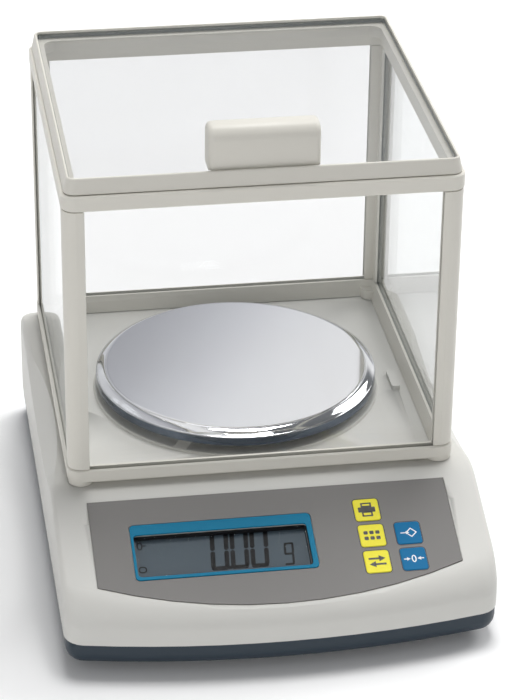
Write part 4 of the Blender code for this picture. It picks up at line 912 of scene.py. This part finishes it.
@dataclass
class Pan:
    """Polished round pan on its carrier."""

    bench: Bench
    border: float = 0.0043
    step: float = 0.0004
    cone_drop: float = 0.0019
    round_off: float = 0.0007
    sheet: float = 0.0010
    bulge: float = 0.00022
    turns: int = 160
    loop_share: float = 4.0
    crisp: float = 24.0
    edge: float = 0.0002

    def build(self) -> None:
        """Spins the pan and dresses what carries it."""
        low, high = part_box("weighing_pan")
        middle = (low + high) / 2
        radius = (high.x - low.x) / 2
        disc = radius - self.border
        bm = bmesh.new()
        verts = [bm.verts.new((middle.x + r, middle.y, z)) for r, z in self._profile(radius, disc, high.z, low.z)]
        edges = [bm.edges.new(pair) for pair in zip(verts, verts[1:])]
        bmesh.ops.spin(bm, geom=verts + edges, cent=(middle.x, middle.y, 0.0), axis=(0.0, 0.0, 1.0),
                       angle=2 * math.pi, steps=self.turns, use_merge=True)
        bmesh.ops.remove_doubles(bm, verts=bm.verts, dist=MERGE_GAP / 2)
        bmesh.ops.recalc_face_normals(bm, faces=bm.faces)
        pan = self.bench.piece(bm, "pan_polished", "stainless_steel", "pan", self.crisp)
        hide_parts("weighing_pan")
        self.bench.dress_all(["pan_carrier", *self.bench.family("pan_pad_")], CRISP_FLAT, self.edge)

    def _profile(self, radius: float, disc: float, top: float, bottom: float) -> list[tuple[float, float]]:
        """Gives the pan's half section from the middle out, round the rim and back under.

        Args:
            radius: Outer radius.
            disc: Radius of the flat disc.
            top: Height of the disc.
            bottom: Height of the skirt's lower edge.

        Returns:
            Points of radius and height.
        """
        soft = self.step / 2
        points = [(0.0, top), (disc - self.loop_share * soft, top), (disc - soft, top)]
        for turn in (0.5, 1.05, math.pi / 2):
            points.append((disc - soft + soft * math.sin(turn), top - soft + soft * math.cos(turn)))
        points.append((disc, top - self.step))
        rim = top - self.step - self.cone_drop
        inner, outer = disc + self.step, radius - self.round_off
        for share in (0.0, 0.25, 0.5, 0.75, 1.0):
            swell = self.bulge * math.sin(math.pi * share)
            points.append((inner + (outer - inner) * share, top - self.step - self.cone_drop * share + swell))
        for turn in (0.35, 0.7, 1.05, math.pi / 2):
            points.append((outer + self.round_off * math.sin(turn), rim - self.round_off * (1 - math.cos(turn))))
        inside = radius - self.sheet
        points += [(radius, bottom), (inside, bottom), (inside, rim - self.sheet)]
        points += [(disc - self.sheet, top - self.sheet), (0.0, top - self.sheet)]
        return points


@dataclass
class Shield:
    """Draft shield and lid: frames, panes and handle."""

    bench: Bench
    edge: float = 0.00025
    handle_crisp: float = 40.0

    def build(self) -> None:
        """Dresses the frames and the panes."""
        posts = self.bench.family("shield_post_")
        self.bench.dress_all(["shield_bottom_ring", "shield_top_ring", "lid_frame", *posts], CRISP_FLAT, self.edge)
        self.bench.dress("lid_handle", self.handle_crisp)
        for node in (*self.bench.family("shield_glass_"), "lid_glass"):
            self._pane(node)

    def _pane(self, node: str) -> None:
        """Dresses a pane, with a greyer finish on its sawn edges."""
        pane = self.bench.dress(node)
        low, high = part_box(node)
        size = high - low
        thin = min(range(3), key=lambda axis: size[axis])
        pane.data.materials.append(self.bench.finishes.pane_edge)
        for face in pane.data.polygons:
            if abs(face.normal[thin]) < 0.5:
                face.material_index = 1


@dataclass
class Electronics:
    """Boards, connectors with their pins, and the load cell's stack."""

    bench: Bench
    laminate: float = 0.00165
    edge: float = 0.0002
    pin_edge: float = 0.00015
    pin_sides: int = 16
    pin_radius: float = 0.0005
    pin_pitch: float = 0.00277
    pin_rows: float = 0.00284
    pin_depth: float = 0.0046
    pin_setback: float = 0.0004
    insulator: Place = (0.0152, 0.0010, 0.0066)
    jack_pin: float = 0.00105
    jack_reach: float = 0.0070
    jack_setback: float = 0.0008
    jack_sides: int = 24

    def build(self) -> None:
        """Dresses the pieces inside the housing and at its back."""
        self.bench.dress_all(["main_board", "keypad_board", "port_board", "power_jack", "serial_connector"],
                             CRISP_FLAT)
        self.bench.dress_all(["load_cell", *self.bench.family("cell_")], CRISP_FLAT, self.edge)
        self._serial_pins()
        self._jack_pin()

    def _serial_pins(self) -> None:
        """Adds nine gilt pins in their black insulator."""
        low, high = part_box("serial_connector")
        middle = (low + high) / 2
        bm = bmesh.new()
        for count, row in ((5, 0.5), (4, -0.5)):
            for index in range(count):
                place = (middle.x + (index - (count - 1) / 2) * self.pin_pitch,
                         high.y - self.pin_depth / 2 - self.pin_setback, middle.z + row * self.pin_rows)
                lay = Matrix.Translation(place) @ Matrix.Rotation(math.pi / 2, 4, "X")
                bmesh.ops.create_cone(bm, cap_ends=True, segments=self.pin_sides, radius1=self.pin_radius,
                                      radius2=self.pin_radius, depth=self.pin_depth, matrix=lay)
        self.bench.piece(bm, "serial_pins", "connector_steel", "base", CRISP_FLAT, self.pin_edge,
                         self.bench.finishes.brass)
        block = bmesh.new()
        bmesh.ops.create_cube(block, size=1.0)
        bmesh.ops.scale(block, verts=block.verts, vec=self.insulator)
        back = high.y - self.pin_depth - self.pin_setback
        bmesh.ops.translate(block, verts=block.verts, vec=(middle.x, back, middle.z))
        self.bench.piece(block, "serial_insulator", "black_plastic", "base", CRISP_FLAT, self.edge)

    def _jack_pin(self) -> None:
        """Adds the bright sleeve of the power jack's pin."""
        low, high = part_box("power_jack")
        back = high.y - self.jack_reach / 2 - self.jack_setback
        place = ((low.x + high.x) / 2, back, (low.z + high.z) / 2)
        bm = bmesh.new()
        lay = Matrix.Translation(place) @ Matrix.Rotation(math.pi / 2, 4, "X")
        bmesh.ops.create_cone(bm, cap_ends=True, segments=self.jack_sides, radius1=self.jack_pin,
                              radius2=self.jack_pin, depth=self.jack_reach, matrix=lay)
        self.bench.piece(bm, "jack_pin", "connector_steel", "base", CRISP_FLAT, self.edge)


# Colours of the mirrored surroundings, from low to high
SKY_STOPS = [
    (0.0, linear(218, 219, 222)), (0.35, linear(196, 197, 202)), (0.55, linear(160, 161, 167)),
    (0.578, linear(184, 185, 190)), (0.604, linear(218, 219, 224)), (0.626, linear(244, 245, 247)),
    (0.66, linear(254, 254, 254)), (0.80, linear(250, 250, 250)), (0.92, linear(116, 117, 120)),
    (1.0, linear(98, 99, 102)),
]

# Place in metres, side in metres and power in watts of each lamp
LAMPS = {
    "key_light": ((0.25, 0.64, 2.55), 0.9, 47.0),
    "fill_light": ((-1.6, -2.2, 0.50), 1.4, 16.0),
    "side_light": ((1.5, 0.9, 1.3), 1.0, 17.0),
}


@dataclass
class Studio:
    """Camera, lamps and floor."""

    eye: Place = (-0.1554, -0.99095, 0.6294)
    azimuth: float = 9.254
    elevation: float = 28.571
    roll: float = 0.742
    focal_pixels: float = 2750.0
    frame_height: int = 700
    sensor: float = 24.0
    floor_size: float = 12.0
    floor_colour: Colour = (0.97, 0.97, 0.97)
    glow: float = 0.02
    soft_colour: Colour = (0.97, 0.98, 1.0)
    soft_strength: float = 0.28
    aim: Place = (0.0, 0.0, 0.08)

    def build(self) -> None:
        """Sets up the view, the light and the ground."""
        self._camera()
        self._world()
        for name, (place, size, power) in LAMPS.items():
            self._lamp(name, place, size, power)
        self._floor()
        bpy.context.scene.view_settings.view_transform = "Standard"

    def _camera(self) -> None:
        """Places the camera where the photograph was taken from."""
        data = bpy.data.cameras.new("photo_camera")
        data.sensor_fit = "VERTICAL"
        data.sensor_height = self.sensor
        data.lens = self.focal_pixels * self.sensor / self.frame_height
        data.clip_end = 50.0
        camera = bpy.data.objects.new("photo_camera", data)
        bpy.context.scene.collection.objects.link(camera)
        turn, tilt = math.radians(self.azimuth), math.radians(self.elevation)
        ahead = Vector((math.sin(turn) * math.cos(tilt), math.cos(turn) * math.cos(tilt), -math.sin(tilt)))
        straight = ahead.to_track_quat("-Z", "Y").to_matrix()
        rolled = straight @ Matrix.Rotation(math.radians(self.roll), 3, "Z")
        camera.matrix_world = Matrix.Translation(self.eye) @ rolled.to_4x4()
        bpy.context.scene.camera = camera

    def _world(self) -> None:
        """Soft grey surroundings that look white to the camera and shaded in reflections."""
        recipe = Recipe("studio_world", world=True)
        world = recipe.material
        bpy.context.scene.world = world
        ray = recipe.node("ShaderNodeLightPath", {}, {}, "Is Glossy Ray")
        seen = recipe.node("ShaderNodeLightPath", {}, {}, "Is Camera Ray").either(
            recipe.node("ShaderNodeLightPath", {}, {}, "Is Transmission Ray"))
        aim = recipe.node("ShaderNodeTexCoord", {}, {}, "Generated")
        rise = recipe.node("ShaderNodeSeparateXYZ", {}, {"Vector": aim}, "Z")
        side = recipe.node("ShaderNodeSeparateXYZ", {}, {"Vector": aim}, "X")
        sky = recipe.node("ShaderNodeValToRGB", {"stops": SKY_STOPS}, {"Fac": rise + side})
        soft = recipe.node("ShaderNodeBackground", {}, {"Color": self.soft_colour, "Strength": self.soft_strength})
        mirrored = recipe.node("ShaderNodeBackground", {}, {"Color": sky, "Strength": 1.0})
        white = recipe.node("ShaderNodeBackground", {}, {"Color": (1.0, 1.0, 1.0), "Strength": 1.0})
        lit = recipe.node("ShaderNodeMixShader", {}, {0: ray, 1: soft, 2: mirrored})
        shown = recipe.node("ShaderNodeMixShader", {}, {0: seen, 1: lit, 2: white})
        output = recipe.tree.nodes.new("ShaderNodeOutputWorld")
        recipe.feed(output.inputs["Surface"], shown)

    def _lamp(self, name: str, place: Place, size: float, power: float) -> None:
        """Adds one large soft lamp aimed at the balance."""
        data = bpy.data.lights.new(name, "AREA")
        data.shape = "SQUARE"
        data.size = size
        data.energy = power
        lamp = bpy.data.objects.new(name, data)
        bpy.context.scene.collection.objects.link(lamp)
        lamp.location = place
        lamp.rotation_euler = (Vector(self.aim) - Vector(place)).to_track_quat("-Z", "Y").to_euler()

    def _floor(self) -> None:
        """Adds a pale floor that fades to white but keeps the shadow."""
        bm = bmesh.new()
        bmesh.ops.create_grid(bm, x_segments=1, y_segments=1, size=self.floor_size)
        mesh = bpy.data.meshes.new("floor")
        bm.to_mesh(mesh)
        bm.free()
        floor = bpy.data.objects.new("floor", mesh)
        bpy.context.scene.collection.objects.link(floor)
        recipe = Recipe("floor_paper")
        seen = recipe.node("ShaderNodeLightPath", {}, {}, "Is Camera Ray").either(
            recipe.node("ShaderNodeLightPath", {}, {}, "Is Glossy Ray"))
        recipe.set(Base_Color=self.floor_colour, Roughness=0.9, Specular_IOR_Level=0.0,
                   Emission_Color=seen, Emission_Strength=self.glow)
        mesh.materials.append(recipe.material)


def main() -> None:
    """Loads the frame, dresses every piece and sets the scene."""
    logging.basicConfig(level=logging.INFO, format="%(message)s")
    for old in list(bpy.data.objects):
        bpy.data.objects.remove(old, do_unlink=True)
    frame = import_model()
    Studio().build()
    bench = Bench(frame, Finishes())
    for part in (Housing, Console, Display, Pan, Shield, Electronics):
        part(bench).build()


if __name__ == "__main__":
    main()
